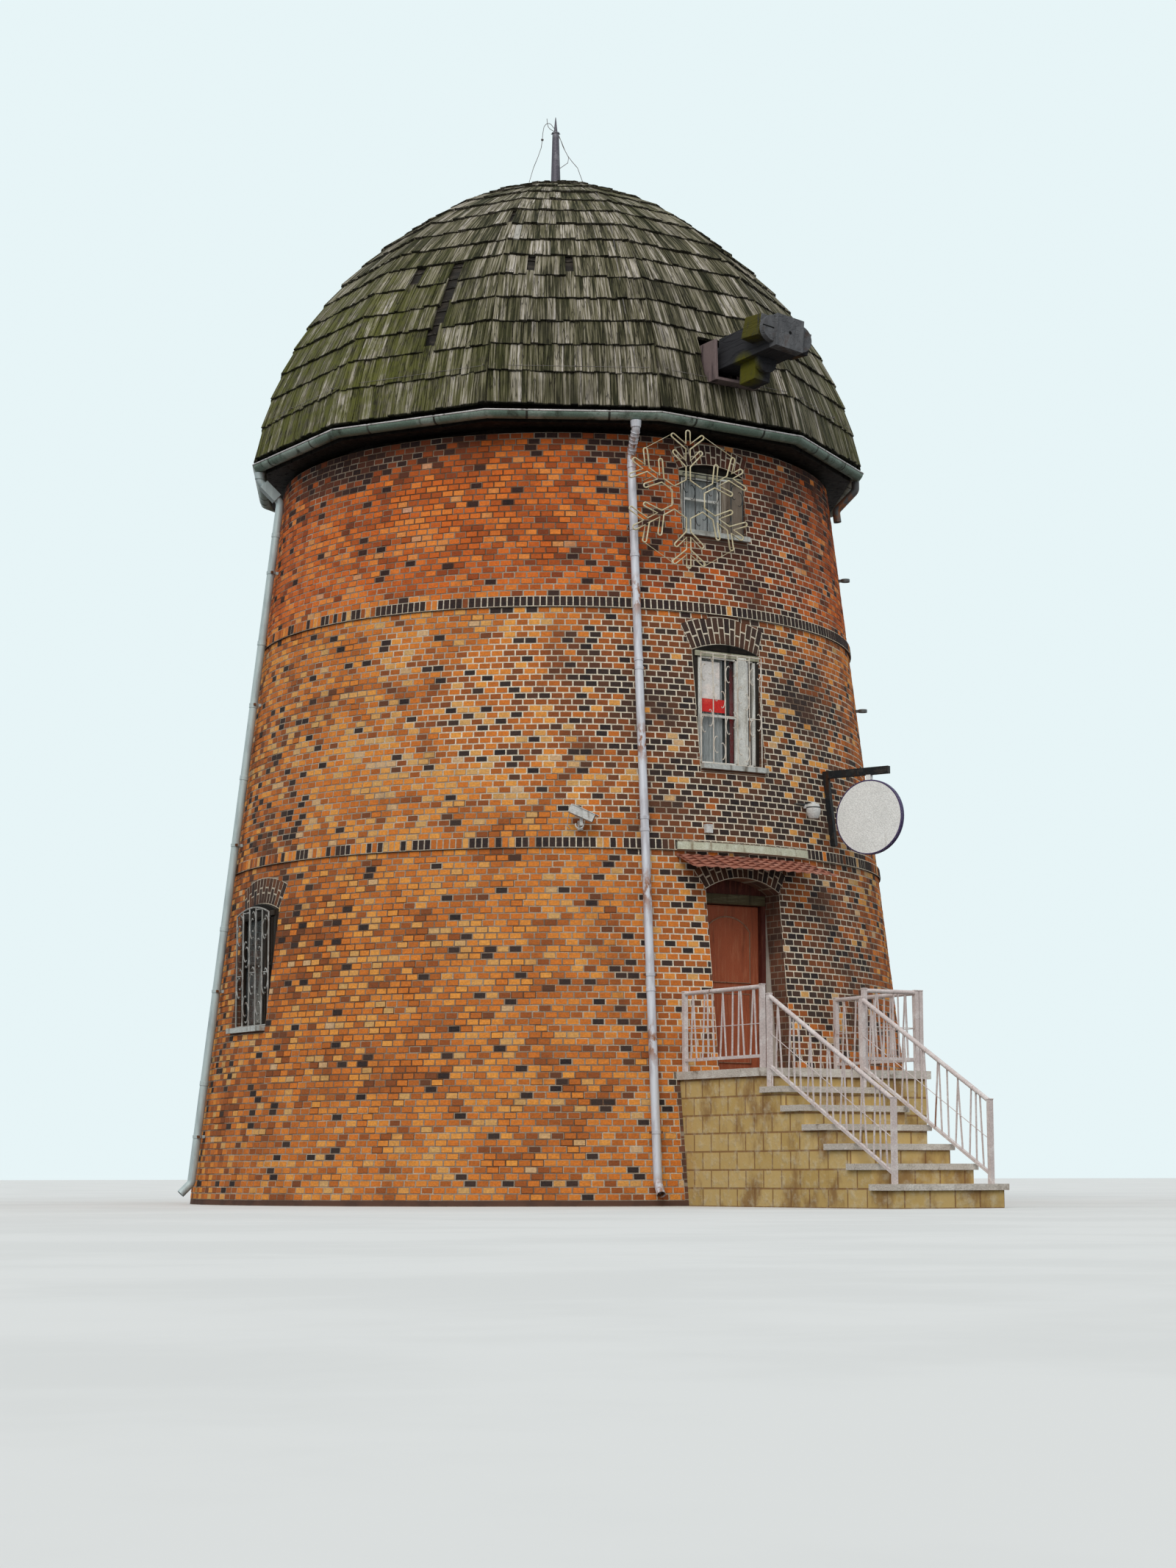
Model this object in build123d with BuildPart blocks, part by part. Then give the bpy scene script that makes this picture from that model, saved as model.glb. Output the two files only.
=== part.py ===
from build123d import *
import os
from math import asin, cos, degrees, radians, sin, sqrt, tan

os.makedirs("parts", exist_ok=True)

# A brick tower windmill without its sails, in millimetres. The origin is on the tower's axis at
# ground level, +Z is up and the door faces -Y. An azimuth is counted from -Y towards +X, in degrees.

# Round tower: the wall leans inwards by a constant batter
foot_radius = 4601
batter = 0.1161
lower_band_height = 4063
upper_band_height = 6941
band_course = 128
band_projection = 27
wall_top = 9100
ground_wall_thickness = 690
middle_wall_thickness = 550
upper_wall_thickness = 410
cellar_ledge = 120
quarter_turn = 90

# Floors lie on the ledges where the wall gets thinner
base_slab_thickness = 150
entrance_height = 1500
floor_thickness = 120
floor_play = 8

# Windows with flat arches
window_width = 930
window_arch_rise = 95
ground_window_height = 1550
ground_window_drop = 463
middle_window_height = 1530
middle_window_drop = 361
upper_window_height = 915
upper_window_drop = 280
window_setback = 150
frame_depth = 70
frame_member = 62
mullion_width = 112
mullion_aside = 207
glass_thickness = 6
sill_thickness = 60
sill_overhang = 45

# Doorway and door
doorway_width = 1040
doorway_side_height = 2120
doorway_arch_rise = 150
door_setback = 547
door_frame_depth = 110
door_jamb_width = 60
door_clear_height = 1985
door_leaf_thickness = 50
door_play = 8
door_bottom_play = 12
panel_margin = 130
panel_depth = 9
panel_arch_rise = 170
hinge_radius = 11
hinge_length = 60
hinge_plate = 48
hinge_plate_thickness = 4
hinge_play = 0.05
pin_radius = 6
handle_height = 1000
handle_inset = 65
rose_radius = 26
rose_thickness = 8
grip_radius = 9
grip_reach = 52
grip_length = 120

# Twelve-sided dome, turned a little against the door's axis
side_count = 12
cap_turn = 1.5
half_side_angle = 180 / side_count
plate_height = 70
plate_width = 260
plate_setback = 40
ring_joint = 1
cap_ring_height = 200
cap_ring_width = 655
cap_ring_overhang = 311
eaves_overhang = 95
dome_height = 3960
dome_shoulder_inset = 1450
dome_shoulder_height = 2760
dome_belly_inset = 400
dome_belly_height = 1290
dome_crown_radius = 110
roof_thickness = 120

# Gutter, pipes and finial
gutter_radius = 82
gutter_sheet = 6
gutter_drop = 100
gutter_play = 2
pipe_radius = 50
pipe_gap = 45
pipe_azimuths = (-17.5, -104)
broken_pipe_azimuth = 48
broken_pipe_drop = 430
outlet_length = 110
swan_neck_drop = 280
shoe_height = 260
shoe_reach = 130
pipe_bend_radius = 90
pipe_wall = 4
pipe_mouth_depth = 90
clip_heights = (820, 2600, 4420, 6200, 7900)
empty_clip_heights = (6200, 7900)
clip_height = 36
clip_thickness = 7
clip_stem_width = 24
finial_height = 1017
finial_flare_height = 60
finial_foot_radius = 66
finial_shoulder_height = 807
finial_shoulder_radius = 43
finial_spike_radius = 26
finial_tip_radius = 5

# Windshaft
shaft_turn = 2.4
shaft_tilt = 2.2
shaft_roll = -6
shaft_reach = 1107
shaft_rise = 790
poll_width = 400
poll_length = 1140
disc_radius = 365
disc_thickness = 35
side_disc_back = 50
lower_disc_back = 468
stock_width = 295
stock_thickness = 225
side_stub = 200
lower_stub = 279
neck_radius = 185
neck_length = 690
neck_play = 0.3
bearing_gap = 395
bearing_width = 620
bearing_length = 220
bearing_cap = 90
boards_inner_width = 612
board_thickness = 34
boards_back = 1440
boards_length = 430

# Canopy over the door
canopy_half_angle = 13
canopy_turn = 1
canopy_drop = 33
canopy_reach = 520
canopy_fall = 160
canopy_thickness = 24
canopy_course_count = 5
canopy_course_step = 12
flashing_lift = 5
flashing_height = 90
flashing_depth = 45

# Landing and steps
landing_left = -1050
landing_right = 1300
landing_depth = 1523
slab_thickness = 90
slab_overhang = 40
flight_right = 380
riser_count = 7
first_riser = 250
going = 380
tread_thickness = 65
tread_nosing = 35
lowest_tread_extra = 90

# Round sign on its bracket
sign_azimuth = 22.6
sign_lift = 399
sign_gap = 122
sign_radius = 450
sign_thickness = 60
sign_tab = 60
channel_lift = 84
channel_width = 60
channel_depth = 70
arm_height = 90
arm_overreach = 270

# Lamp, camera and a small box on the wall
lamp_azimuth = 15.5
lamp_lift = 519
lamp_arm = 60
lamp_radius = 82
lamp_jar_height = 130
lamp_jar_foot_radius = 55
lamp_cap_radius = 68
lamp_cap_height = 45
lamp_knob_radius = 30
lamp_knob_height = 22
camera_azimuth = -27.7
camera_lift = 129
camera_foot_width = 62
camera_foot_height = 110
camera_foot_depth = 30
camera_arm_width = 34
camera_stand_off = 130
camera_stem_height = 75
camera_body_length = 300
camera_body_height = 96
camera_body_depth = 100
camera_hood_overhang = 30
camera_hood_thickness = 8
camera_tilt = -24
box_azimuth = -6.2
box_lift = 139
box_width = 85
box_height = 100
box_depth = 60

# Star of rope light that stands off the wall before the upper window
star_azimuth = -7.6
star_gap = 222
star_lift = 1221
star_radius = 845
star_tube = 14
star_arm_width = 70
star_heart_radius = 250
star_loop_places = (400, 620)
star_loop_length = 270
star_loop_width = 64
star_loop_angle = 52
star_holder_radius = 7
star_holder_place = 520
star_held_arms = (90, 150, 210, 270)

# Railings of square steel bars
rail_height = 900
post_width = 50
rail_width = 34
bar_width = 14
bar_pitch = 110
bar_lean = 66
bar_rhythm = 2.4
bottom_rail_gap = 130
post_gap = 10
stair_rail_raise = 100
masonry_joint = 0.2


def wall_radius(height):
    return foot_radius - batter * height


def radial_plane(azimuth):
    """Upright plane through the axis: its x runs outwards at the azimuth, its y runs up."""
    turn = radians(azimuth - 90)
    return Plane(origin=(0, 0, 0), x_dir=(cos(turn), sin(turn), 0), z_dir=(sin(turn), -cos(turn), 0))


def facing_plane(azimuth, distance=0):
    """Upright plane that faces outwards at the azimuth, at a distance from the axis."""
    turn = radians(azimuth - 90)
    out = (cos(turn), sin(turn), 0)
    origin = (out[0] * distance, out[1] * distance, 0)
    return Plane(origin=origin, x_dir=(-sin(turn), cos(turn), 0), z_dir=out)


def on_azimuth(azimuth, radius, height=0):
    turn = radians(azimuth - 90)
    return Vector(radius * cos(turn), radius * sin(turn), height)


def side_distance(apothem, azimuth):
    """Distance from the axis to a straight side of the twelve-sided cap, along an azimuth."""
    from_middle = (azimuth - cap_turn + half_side_angle) % (2 * half_side_angle) - half_side_angle
    return apothem / cos(radians(from_middle))


def save(part, name):
    part.label = name
    export_step(part, f"parts/{name}.step")


# Walls
ground_top = lower_band_height + band_course
middle_top = upper_band_height + band_course
ground_sill_height = lower_band_height - ground_window_drop - ground_window_height
middle_sill_height = upper_band_height - middle_window_drop - middle_window_height
upper_sill_height = wall_top - upper_window_drop - upper_window_height
doorway_spring_height = entrance_height + doorway_side_height
door_head_bottom = entrance_height + door_clear_height
door_plane = wall_radius(entrance_height) - door_setback


def wall_profile(bottom, top, thickness, band_bottom=None, ledge_height=None):
    """Half section of a storey's wall, with its band course and its inner ledge."""
    outer = [(wall_radius(bottom), bottom)]
    if band_bottom is not None:
        outer.append((wall_radius(band_bottom), band_bottom))
        outer.append((wall_radius(band_bottom) + band_projection, band_bottom))
        outer.append((wall_radius(top) + band_projection, top))
    outer.append((wall_radius(top), top))
    inner = [(wall_radius(top) - thickness, top)]
    if ledge_height is not None:
        inner.append((wall_radius(ledge_height) - thickness, ledge_height))
        inner.append((wall_radius(ledge_height) - thickness - cellar_ledge, ledge_height))
        inner.append((wall_radius(bottom) - thickness - cellar_ledge, bottom))
    else:
        inner.append((wall_radius(bottom) - thickness, bottom))
    return outer + inner


def arch_opening(width, bottom, spring, rise):
    """Opening with a flat round arch, drawn on an upright plane."""
    with BuildSketch() as opening:
        with BuildLine():
            Polyline((-width / 2, spring), (-width / 2, bottom), (width / 2, bottom), (width / 2, spring))
            ThreePointArc((width / 2, spring), (0, spring + rise), (-width / 2, spring))
        make_face()
    return opening.sketch


def wall_segment(profile, start, span, window=None):
    """A stretch of round wall, with the opening of one window in its middle."""
    with BuildPart() as segment:
        with BuildSketch(radial_plane(start)):
            with BuildLine():
                Polyline(*profile, close=True)
            make_face()
        revolve(axis=Axis.Z, revolution_arc=span)
        if window is not None:
            sill, height = window
            spring = sill + height - window_arch_rise
            with BuildSketch(facing_plane(start + span / 2)):
                add(arch_opening(window_width, sill, spring, window_arch_rise))
            extrude(amount=foot_radius, mode=Mode.SUBTRACT)
    return segment.part


ground_profile = wall_profile(0, ground_top, ground_wall_thickness, lower_band_height,
                              entrance_height - floor_thickness)
middle_profile = wall_profile(ground_top, middle_top, middle_wall_thickness, upper_band_height)
upper_profile = wall_profile(middle_top, wall_top, upper_wall_thickness)
ground_window = (ground_sill_height, ground_window_height)
middle_window = (middle_sill_height, middle_window_height)
upper_window = (upper_sill_height, upper_window_height)
sides = {"right": 90, "back": 180, "left": 270}

for side, middle in sides.items():
    opening = ground_window if side != "back" else None
    save(wall_segment(ground_profile, middle - quarter_turn / 2, quarter_turn, opening), f"ground_wall_{side}")
for side, middle in {"front": 0, **sides}.items():
    opening = middle_window if side in ("front", "back") else None
    save(wall_segment(middle_profile, middle - quarter_turn / 2, quarter_turn, opening), f"middle_wall_{side}")
    opening = upper_window if side in ("front", "back") else None
    save(wall_segment(upper_profile, middle - quarter_turn / 2, quarter_turn, opening), f"upper_wall_{side}")

# The front of the ground storey is split beside the doorway
for side, start in (("left", -quarter_turn / 2), ("right", 0)):
    edge = -doorway_width / 2 if side == "left" else doorway_width / 2
    with BuildPart() as front_pier:
        with BuildSketch(radial_plane(start)):
            with BuildLine():
                Polyline(*ground_profile, close=True)
            make_face()
        revolve(axis=Axis.Z, revolution_arc=quarter_turn / 2)
        split(bisect_by=Plane.YZ.offset(edge), keep=Keep.BOTTOM if side == "left" else Keep.TOP)
    save(front_pier.part, f"ground_wall_front_{side}")

doorway_half_angle = degrees(asin(doorway_width / (wall_radius(ground_top) - ground_wall_thickness)))
with BuildPart() as doorway_wall:
    with BuildSketch(radial_plane(-doorway_half_angle)):
        with BuildLine():
            Polyline(*ground_profile, close=True)
        make_face()
    revolve(axis=Axis.Z, revolution_arc=2 * doorway_half_angle)
    split(bisect_by=Plane.YZ.offset(doorway_width / 2), keep=Keep.BOTTOM)
    split(bisect_by=Plane.YZ.offset(-doorway_width / 2), keep=Keep.TOP)
    with BuildSketch(facing_plane(0)):
        add(arch_opening(doorway_width, entrance_height, doorway_spring_height, doorway_arch_rise))
    extrude(amount=foot_radius, mode=Mode.SUBTRACT)
save(doorway_wall.part, "doorway_wall")

# Floors
with BuildPart() as base_slab:
    Cylinder(wall_radius(base_slab_thickness) - ground_wall_thickness - cellar_ledge - masonry_joint,
             base_slab_thickness,
             align=(Align.CENTER, Align.CENTER, Align.MIN))
save(base_slab.part, "base_slab")


def floor_disc(bottom, wall_thickness):
    """Floor that lies on the ledge at its bottom and stays clear of the wall round it."""
    radius = wall_radius(bottom + floor_thickness) - wall_thickness - floor_play
    with BuildPart() as disc:
        with BuildSketch(Plane.XY.offset(bottom)):
            Circle(radius)
        extrude(amount=floor_thickness)
    return disc.part


with BuildPart() as storey_floors:
    add(floor_disc(entrance_height - floor_thickness, ground_wall_thickness))
    add(floor_disc(ground_top, middle_wall_thickness))
    add(floor_disc(middle_top, upper_wall_thickness))
save(storey_floors.part, "storey_floors")

# Windows
window_rows = (
    (ground_sill_height, ground_window_height, (90, 270)),
    (middle_sill_height, middle_window_height, (0, 180)),
    (upper_sill_height, upper_window_height, (0, 180)),
)


def window_outer_face(sill):
    """Distance from the axis to the outer face of a window frame, set back in the wall."""
    return wall_radius(sill) - window_setback


def window_lights(sill, height):
    """The wide and the narrow light of a window, under the arch and beside its post."""
    spring = sill + height - window_arch_rise
    with BuildSketch() as lights:
        add(arch_opening(window_width, sill, spring, window_arch_rise))
        offset(amount=-frame_member, kind=Kind.INTERSECTION, mode=Mode.REPLACE)
        with Locations((mullion_aside, sill + height / 2)):
            Rectangle(mullion_width, height, mode=Mode.SUBTRACT)
    return lights.sketch


with BuildPart() as window_frames:
    for sill, height, places in window_rows:
        spring = sill + height - window_arch_rise
        for azimuth in places:
            with BuildSketch(facing_plane(azimuth, window_outer_face(sill) - frame_depth)):
                add(arch_opening(window_width, sill, spring, window_arch_rise))
                add(window_lights(sill, height), mode=Mode.SUBTRACT)
            extrude(amount=frame_depth)
save(window_frames.part, "window_frames")

with BuildPart() as window_glass:
    for sill, height, places in window_rows:
        for azimuth in places:
            with BuildSketch(facing_plane(azimuth, window_outer_face(sill) - frame_depth / 2)):
                add(window_lights(sill, height))
            extrude(amount=glass_thickness)
save(window_glass.part, "window_glass")

with BuildPart() as window_sills:
    for sill, height, places in window_rows:
        for azimuth in places:
            back = window_outer_face(sill)
            front = wall_radius(sill) + sill_overhang
            with BuildSketch(facing_plane(azimuth, back)):
                with Locations((0, sill + sill_thickness / 2)):
                    Rectangle(window_width, sill_thickness)
            extrude(amount=front - back)
save(window_sills.part, "window_sills")

# The hinges stand on the room's side of the door, where the leaf and its frame are flush
leaf_width = doorway_width - 2 * door_jamb_width - 2 * door_play
leaf_bottom = entrance_height + door_bottom_play
leaf_top = door_head_bottom - door_play
leaf_height = leaf_top - leaf_bottom
frame_back = door_plane - door_frame_depth
hinge_x = -(leaf_width + door_play) / 2
hinge_y = hinge_radius - frame_back
hinge_heights = (leaf_bottom + 0.15 * leaf_height, leaf_bottom + 0.85 * leaf_height)

# Door frame of two jambs under a timber head, with the board that fills the arch
with BuildPart() as door_frame:
    with BuildSketch(facing_plane(0, frame_back)):
        add(arch_opening(doorway_width, entrance_height, doorway_spring_height, doorway_arch_rise))
        opening_width = doorway_width - 2 * door_jamb_width
        with Locations((0, (entrance_height + door_head_bottom) / 2)):
            Rectangle(opening_width, door_head_bottom - entrance_height, mode=Mode.SUBTRACT)
    extrude(amount=door_frame_depth)
    for height in hinge_heights:
        with BuildSketch(Plane.XY.offset(height)):
            with Locations((hinge_x, hinge_y)):
                Circle(hinge_radius)
            with Locations((hinge_x - hinge_plate / 2, -frame_back + hinge_plate_thickness / 2)):
                Rectangle(hinge_plate, hinge_plate_thickness)
        extrude(amount=-hinge_length)
        with BuildSketch(Plane.XY.offset(height)):
            with Locations((hinge_x, hinge_y)):
                Circle(pin_radius)
        extrude(amount=hinge_length)
save(door_frame.part, "door_frame")

# Door leaf with two raised panels, the upper one arched; it opens inwards on its left edge
lock_rail = leaf_bottom + handle_height
with BuildPart() as door_leaf:
    with BuildSketch(facing_plane(0, frame_back)):
        with Locations((0, (leaf_bottom + leaf_top) / 2)):
            Rectangle(leaf_width, leaf_height)
    extrude(amount=door_leaf_thickness)
    with BuildSketch(facing_plane(0, frame_back + door_leaf_thickness)):
        panel_width = leaf_width - 2 * panel_margin
        add(arch_opening(panel_width, lock_rail + panel_margin / 2,
                         leaf_top - panel_margin - panel_arch_rise, panel_arch_rise))
        with Locations((0, (leaf_bottom + lock_rail + panel_margin / 2) / 2)):
            Rectangle(panel_width, lock_rail - leaf_bottom - 1.5 * panel_margin)
    extrude(amount=panel_depth)
    for height in hinge_heights:
        with BuildSketch(Plane.XY.offset(height + hinge_play)):
            with Locations((hinge_x, hinge_y)):
                Circle(hinge_radius)
            with Locations((hinge_x + hinge_plate / 2, -frame_back + hinge_plate_thickness / 2)):
                Rectangle(hinge_plate, hinge_plate_thickness)
            with Locations((hinge_x, hinge_y)):
                Circle(pin_radius + hinge_play, mode=Mode.SUBTRACT)
        extrude(amount=hinge_length)
    handle_x = leaf_width / 2 - handle_inset
    for face, outwards in ((frame_back + door_leaf_thickness, -1), (frame_back, 1)):
        plane = Plane(origin=(handle_x, -face, leaf_bottom + handle_height), z_dir=(0, outwards, 0))
        with BuildSketch(plane):
            Circle(rose_radius)
        extrude(amount=rose_thickness)
        with BuildSketch(plane):
            Circle(grip_radius)
        extrude(amount=grip_reach)
        grip_y = -face + outwards * (grip_reach - grip_radius)
        with BuildSketch(Plane.YZ.offset(handle_x + grip_radius)):
            with Locations((grip_y, leaf_bottom + handle_height)):
                Circle(grip_radius)
        extrude(amount=-grip_length)
save(door_leaf.part, "door_leaf")

# Wall plate, cap ring and dome
ring_bottom = wall_top + plate_height
dome_bottom = ring_bottom + cap_ring_height
wall_side_distance = wall_radius(wall_top) * cos(radians(half_side_angle))
ring_outer_distance = wall_side_distance + cap_ring_overhang
eaves_distance = ring_outer_distance + eaves_overhang


def sector(reach, bottom, height):
    """Wedge of space over one side of the cap, a joint's half width clear of its neighbours."""
    with BuildPart() as wedge:
        with BuildSketch(Plane.XY.offset(bottom)):
            tip = ring_joint / 2 / sin(radians(half_side_angle))
            spread = (reach - tip) * tan(radians(half_side_angle))
            with BuildLine():
                Polyline((0, -tip), (spread, -reach), (-spread, -reach), close=True)
            make_face()
        extrude(amount=height)
    return wedge.part


def ring_of_sides(piece):
    """The same piece on each side of the twelve-sided cap."""
    with BuildPart() as ring:
        for number in range(side_count):
            add(piece.rotate(Axis.Z, cap_turn + number * 2 * half_side_angle))
    return ring.part


def timber_side(inner, outer, bottom, height):
    """One straight timber of a twelve-sided ring, mitred at its ends."""
    with BuildPart() as timber:
        with BuildSketch(Plane.XY.offset(bottom)):
            with Locations((0, -(inner + outer) / 2)):
                Rectangle(2 * outer, outer - inner)
        extrude(amount=height)
        add(sector(2 * outer, bottom, height), mode=Mode.INTERSECT)
    return timber.part


plate_outer = wall_side_distance - plate_setback
plate = timber_side(plate_outer - plate_width, plate_outer, wall_top, plate_height)
save(ring_of_sides(plate), "wall_plate")
cap_timber = timber_side(ring_outer_distance - cap_ring_width, ring_outer_distance,
                         ring_bottom, cap_ring_height)
save(ring_of_sides(cap_timber), "cap_ring")


def dome_profile(factor):
    """Half section of the dome above its eaves: a steep side, then a rounded crown."""
    belly = eaves_distance - dome_belly_inset
    shoulder = eaves_distance - dome_shoulder_inset
    with BuildSketch() as profile:
        with BuildLine():
            side = ThreePointArc((eaves_distance * factor, 0),
                                 (belly * factor, dome_belly_height * factor),
                                 (shoulder * factor, dome_shoulder_height * factor))
            crown = TangentArc(side @ 1, (dome_crown_radius * factor, dome_height * factor),
                               tangent=side % 1)
            Polyline(crown @ 1, (0, dome_height * factor), (0, 0), side @ 0)
        make_face()
    return profile.sketch


inner_factor = (eaves_distance - roof_thickness) / eaves_distance
with BuildPart() as dome_side:
    plane = radial_plane(0)
    plane.origin = (0, 0, dome_bottom)
    with BuildSketch(plane):
        add(dome_profile(1))
        add(dome_profile(inner_factor), mode=Mode.SUBTRACT)
    extrude(amount=eaves_distance, both=True)
    with BuildSketch(Plane.XY.offset(dome_bottom)):
        reach = 2 * eaves_distance
        spread = reach * tan(radians(half_side_angle))
        with BuildLine():
            Polyline((0, 0), (spread, -reach), (-spread, -reach), close=True)
        make_face()
    extrude(amount=dome_height, mode=Mode.INTERSECT)

shaft_front_radius = eaves_distance + shaft_reach
shaft_front_height = dome_bottom + shaft_rise
shaft_origin = on_azimuth(shaft_turn, shaft_front_radius, shaft_front_height)
shaft_out = on_azimuth(shaft_turn, cos(radians(shaft_tilt)), sin(radians(shaft_tilt)))
shaft_side = on_azimuth(shaft_turn + 90, 1)
shaft_plane = Plane(origin=shaft_origin, x_dir=shaft_side, z_dir=shaft_out)
shaft_hole_width = boards_inner_width + 2 * board_thickness

for side, middle in {"front": 0, **sides}.items():
    with BuildPart() as roof:
        for step in (-1, 0, 1):
            turn = cap_turn + middle + step * 2 * half_side_angle
            add(dome_side.part.rotate(Axis.Z, turn))
        if side == "front":
            with BuildSketch(shaft_plane.offset(-shaft_front_radius / 2)):
                Rectangle(shaft_hole_width, shaft_hole_width)
            extrude(amount=shaft_front_radius / 2, mode=Mode.SUBTRACT)
    save(roof.part, f"roof_{side}")

# Gutter of half-round lengths mitred at the corners
gutter_height = dome_bottom - gutter_drop
gutter_middle = ring_outer_distance + gutter_radius
with BuildPart() as gutter_length:
    with BuildSketch(radial_plane(0)):
        with Locations((gutter_middle, gutter_height)):
            Circle(gutter_radius)
            Circle(gutter_radius - gutter_sheet, mode=Mode.SUBTRACT)
        with Locations((gutter_middle, gutter_height + gutter_radius / 2)):
            Rectangle(2 * gutter_radius, gutter_radius, mode=Mode.SUBTRACT)
    extrude(amount=gutter_middle, both=True)
    add(sector(2 * gutter_middle, gutter_height - gutter_radius, gutter_radius), mode=Mode.INTERSECT)
save(ring_of_sides(gutter_length.part), "gutter")

# Finial: a flared foot, a tapered shaft with a shoulder, and a spike
finial_base = dome_bottom + dome_height
with BuildPart() as finial:
    with BuildSketch(radial_plane(0)):
        with BuildLine():
            shoulder = finial_base + finial_shoulder_height
            Polyline((0, finial_base), (dome_crown_radius, finial_base),
                     (finial_foot_radius, finial_base + finial_flare_height),
                     (finial_shoulder_radius, shoulder),
                     (finial_spike_radius, shoulder),
                     (finial_tip_radius, finial_base + finial_height),
                     (0, finial_base + finial_height), close=True)
        make_face()
    revolve(axis=Axis.Z)
save(finial.part, "finial")

# Windshaft: square poll end with two iron discs, a cut-off stock behind each, and a round neck
roll = radians(shaft_roll)
poll_side = shaft_side * cos(roll) + shaft_out.cross(shaft_side) * sin(roll)
poll_plane = Plane(origin=shaft_origin, x_dir=poll_side, z_dir=shaft_out)
with BuildPart() as windshaft:
    with BuildSketch(poll_plane):
        Rectangle(poll_width, poll_width)
    extrude(amount=-poll_length)
    for disc_back in (side_disc_back, lower_disc_back):
        with BuildSketch(poll_plane.offset(-disc_back)):
            Circle(disc_radius)
        extrude(amount=-disc_thickness)
    with BuildSketch(poll_plane.offset(-side_disc_back - disc_thickness)):
        Rectangle(poll_width + 2 * side_stub, stock_thickness)
    extrude(amount=-stock_width)
    with BuildSketch(poll_plane.offset(-lower_disc_back - disc_thickness)):
        with Locations((0, -(poll_width / 2 + lower_stub) / 2)):
            Rectangle(stock_thickness, poll_width / 2 + lower_stub)
    extrude(amount=-stock_width)
    with BuildSketch(poll_plane.offset(-poll_length)):
        Circle(neck_radius)
    extrude(amount=-neck_length)
save(windshaft.part, "windshaft")

bearing_front = shaft_front_radius - poll_length * cos(radians(shaft_tilt)) - bearing_gap
bearing_axis_height = (shaft_front_height
                       - (shaft_front_radius - bearing_front) * tan(radians(shaft_tilt)))
bearing_top = bearing_axis_height + neck_radius + bearing_cap
with BuildPart() as shaft_bearing:
    with BuildSketch(facing_plane(shaft_turn, bearing_front)):
        with Locations((0, (dome_bottom + bearing_top) / 2)):
            Rectangle(bearing_width, bearing_top - dome_bottom)
    extrude(amount=-bearing_length)
    with BuildSketch(shaft_plane.offset(-poll_length)):
        Circle(neck_radius + neck_play)
    extrude(amount=-2 * bearing_length - bearing_width, mode=Mode.SUBTRACT)
save(shaft_bearing.part, "shaft_bearing")

with BuildPart() as shaft_boards:
    with BuildSketch(shaft_plane.offset(-boards_back)):
        Rectangle(shaft_hole_width, shaft_hole_width)
        Rectangle(boards_inner_width, boards_inner_width, mode=Mode.SUBTRACT)
    extrude(amount=boards_length)
save(shaft_boards.part, "shaft_boards")

# Canopy over the door: a tiled sheet that follows the round wall, and the flashing above it
canopy_height = lower_band_height - canopy_drop
canopy_start = canopy_turn - canopy_half_angle


def canopy_profile():
    """Section of the canopy: tile courses that each stand proud at their lower edge."""
    wall_side = wall_radius(canopy_height)
    run = canopy_reach / canopy_course_count
    drop = canopy_fall / canopy_course_count
    points = [(wall_radius(canopy_height - canopy_thickness), canopy_height - canopy_thickness)]
    for course in range(canopy_course_count):
        upper = (wall_side + course * run, canopy_height - course * drop)
        lower = (wall_side + (course + 1) * run, canopy_height - (course + 1) * drop)
        points += [upper, (lower[0], lower[1] + canopy_course_step)]
    points.append((lower[0], lower[1] - canopy_thickness))
    return points


with BuildPart() as canopy:
    with BuildSketch(radial_plane(canopy_start)):
        with BuildLine():
            Polyline(*canopy_profile(), close=True)
        make_face()
    revolve(axis=Axis.Z, revolution_arc=2 * canopy_half_angle)
save(canopy.part, "canopy")

flashing_bottom = lower_band_height + flashing_lift
with BuildPart() as flashing:
    with BuildSketch(radial_plane(canopy_start)):
        inner = [(wall_radius(height) + band_projection, height)
                 for height in (flashing_bottom, flashing_bottom + flashing_height)]
        outer = [(radius + flashing_depth, height) for radius, height in reversed(inner)]
        with BuildLine():
            Polyline(*inner, *outer, close=True)
        make_face()
    revolve(axis=Axis.Z, revolution_arc=2 * canopy_half_angle)
save(flashing.part, "flashing")

# Landing and steps: masonry that starts clear of the round wall, under overhanging stone slabs
landing_front = wall_radius(entrance_height) + landing_depth
riser = (entrance_height - first_riser) / (riser_count - 1)
masonry_top = entrance_height - slab_thickness
flight_width = flight_right - landing_left
flight_middle = (flight_right + landing_left) / 2
landing_width = landing_right - landing_left
landing_middle = (landing_right + landing_left) / 2


def tread_top(number):
    """Height of a step's top, with step 1 the lowest and the landing the last."""
    return first_riser + (number - 1) * riser


def tread_front(number):
    """Distance from the tower's axis to the front of a step's masonry."""
    return landing_front - slab_overhang + (riser_count - number) * going


def tower_gap_tool(bottom, top):
    """Solid of the tower and its joint, which is cut out of what stands against it."""
    with BuildPart() as tool:
        with BuildSketch(radial_plane(0)):
            with BuildLine():
                Polyline((0, bottom), (wall_radius(bottom) + masonry_joint, bottom),
                         (wall_radius(top) + masonry_joint, top), (0, top), close=True)
            make_face()
        revolve(axis=Axis.Z)
    return tool.part


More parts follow.
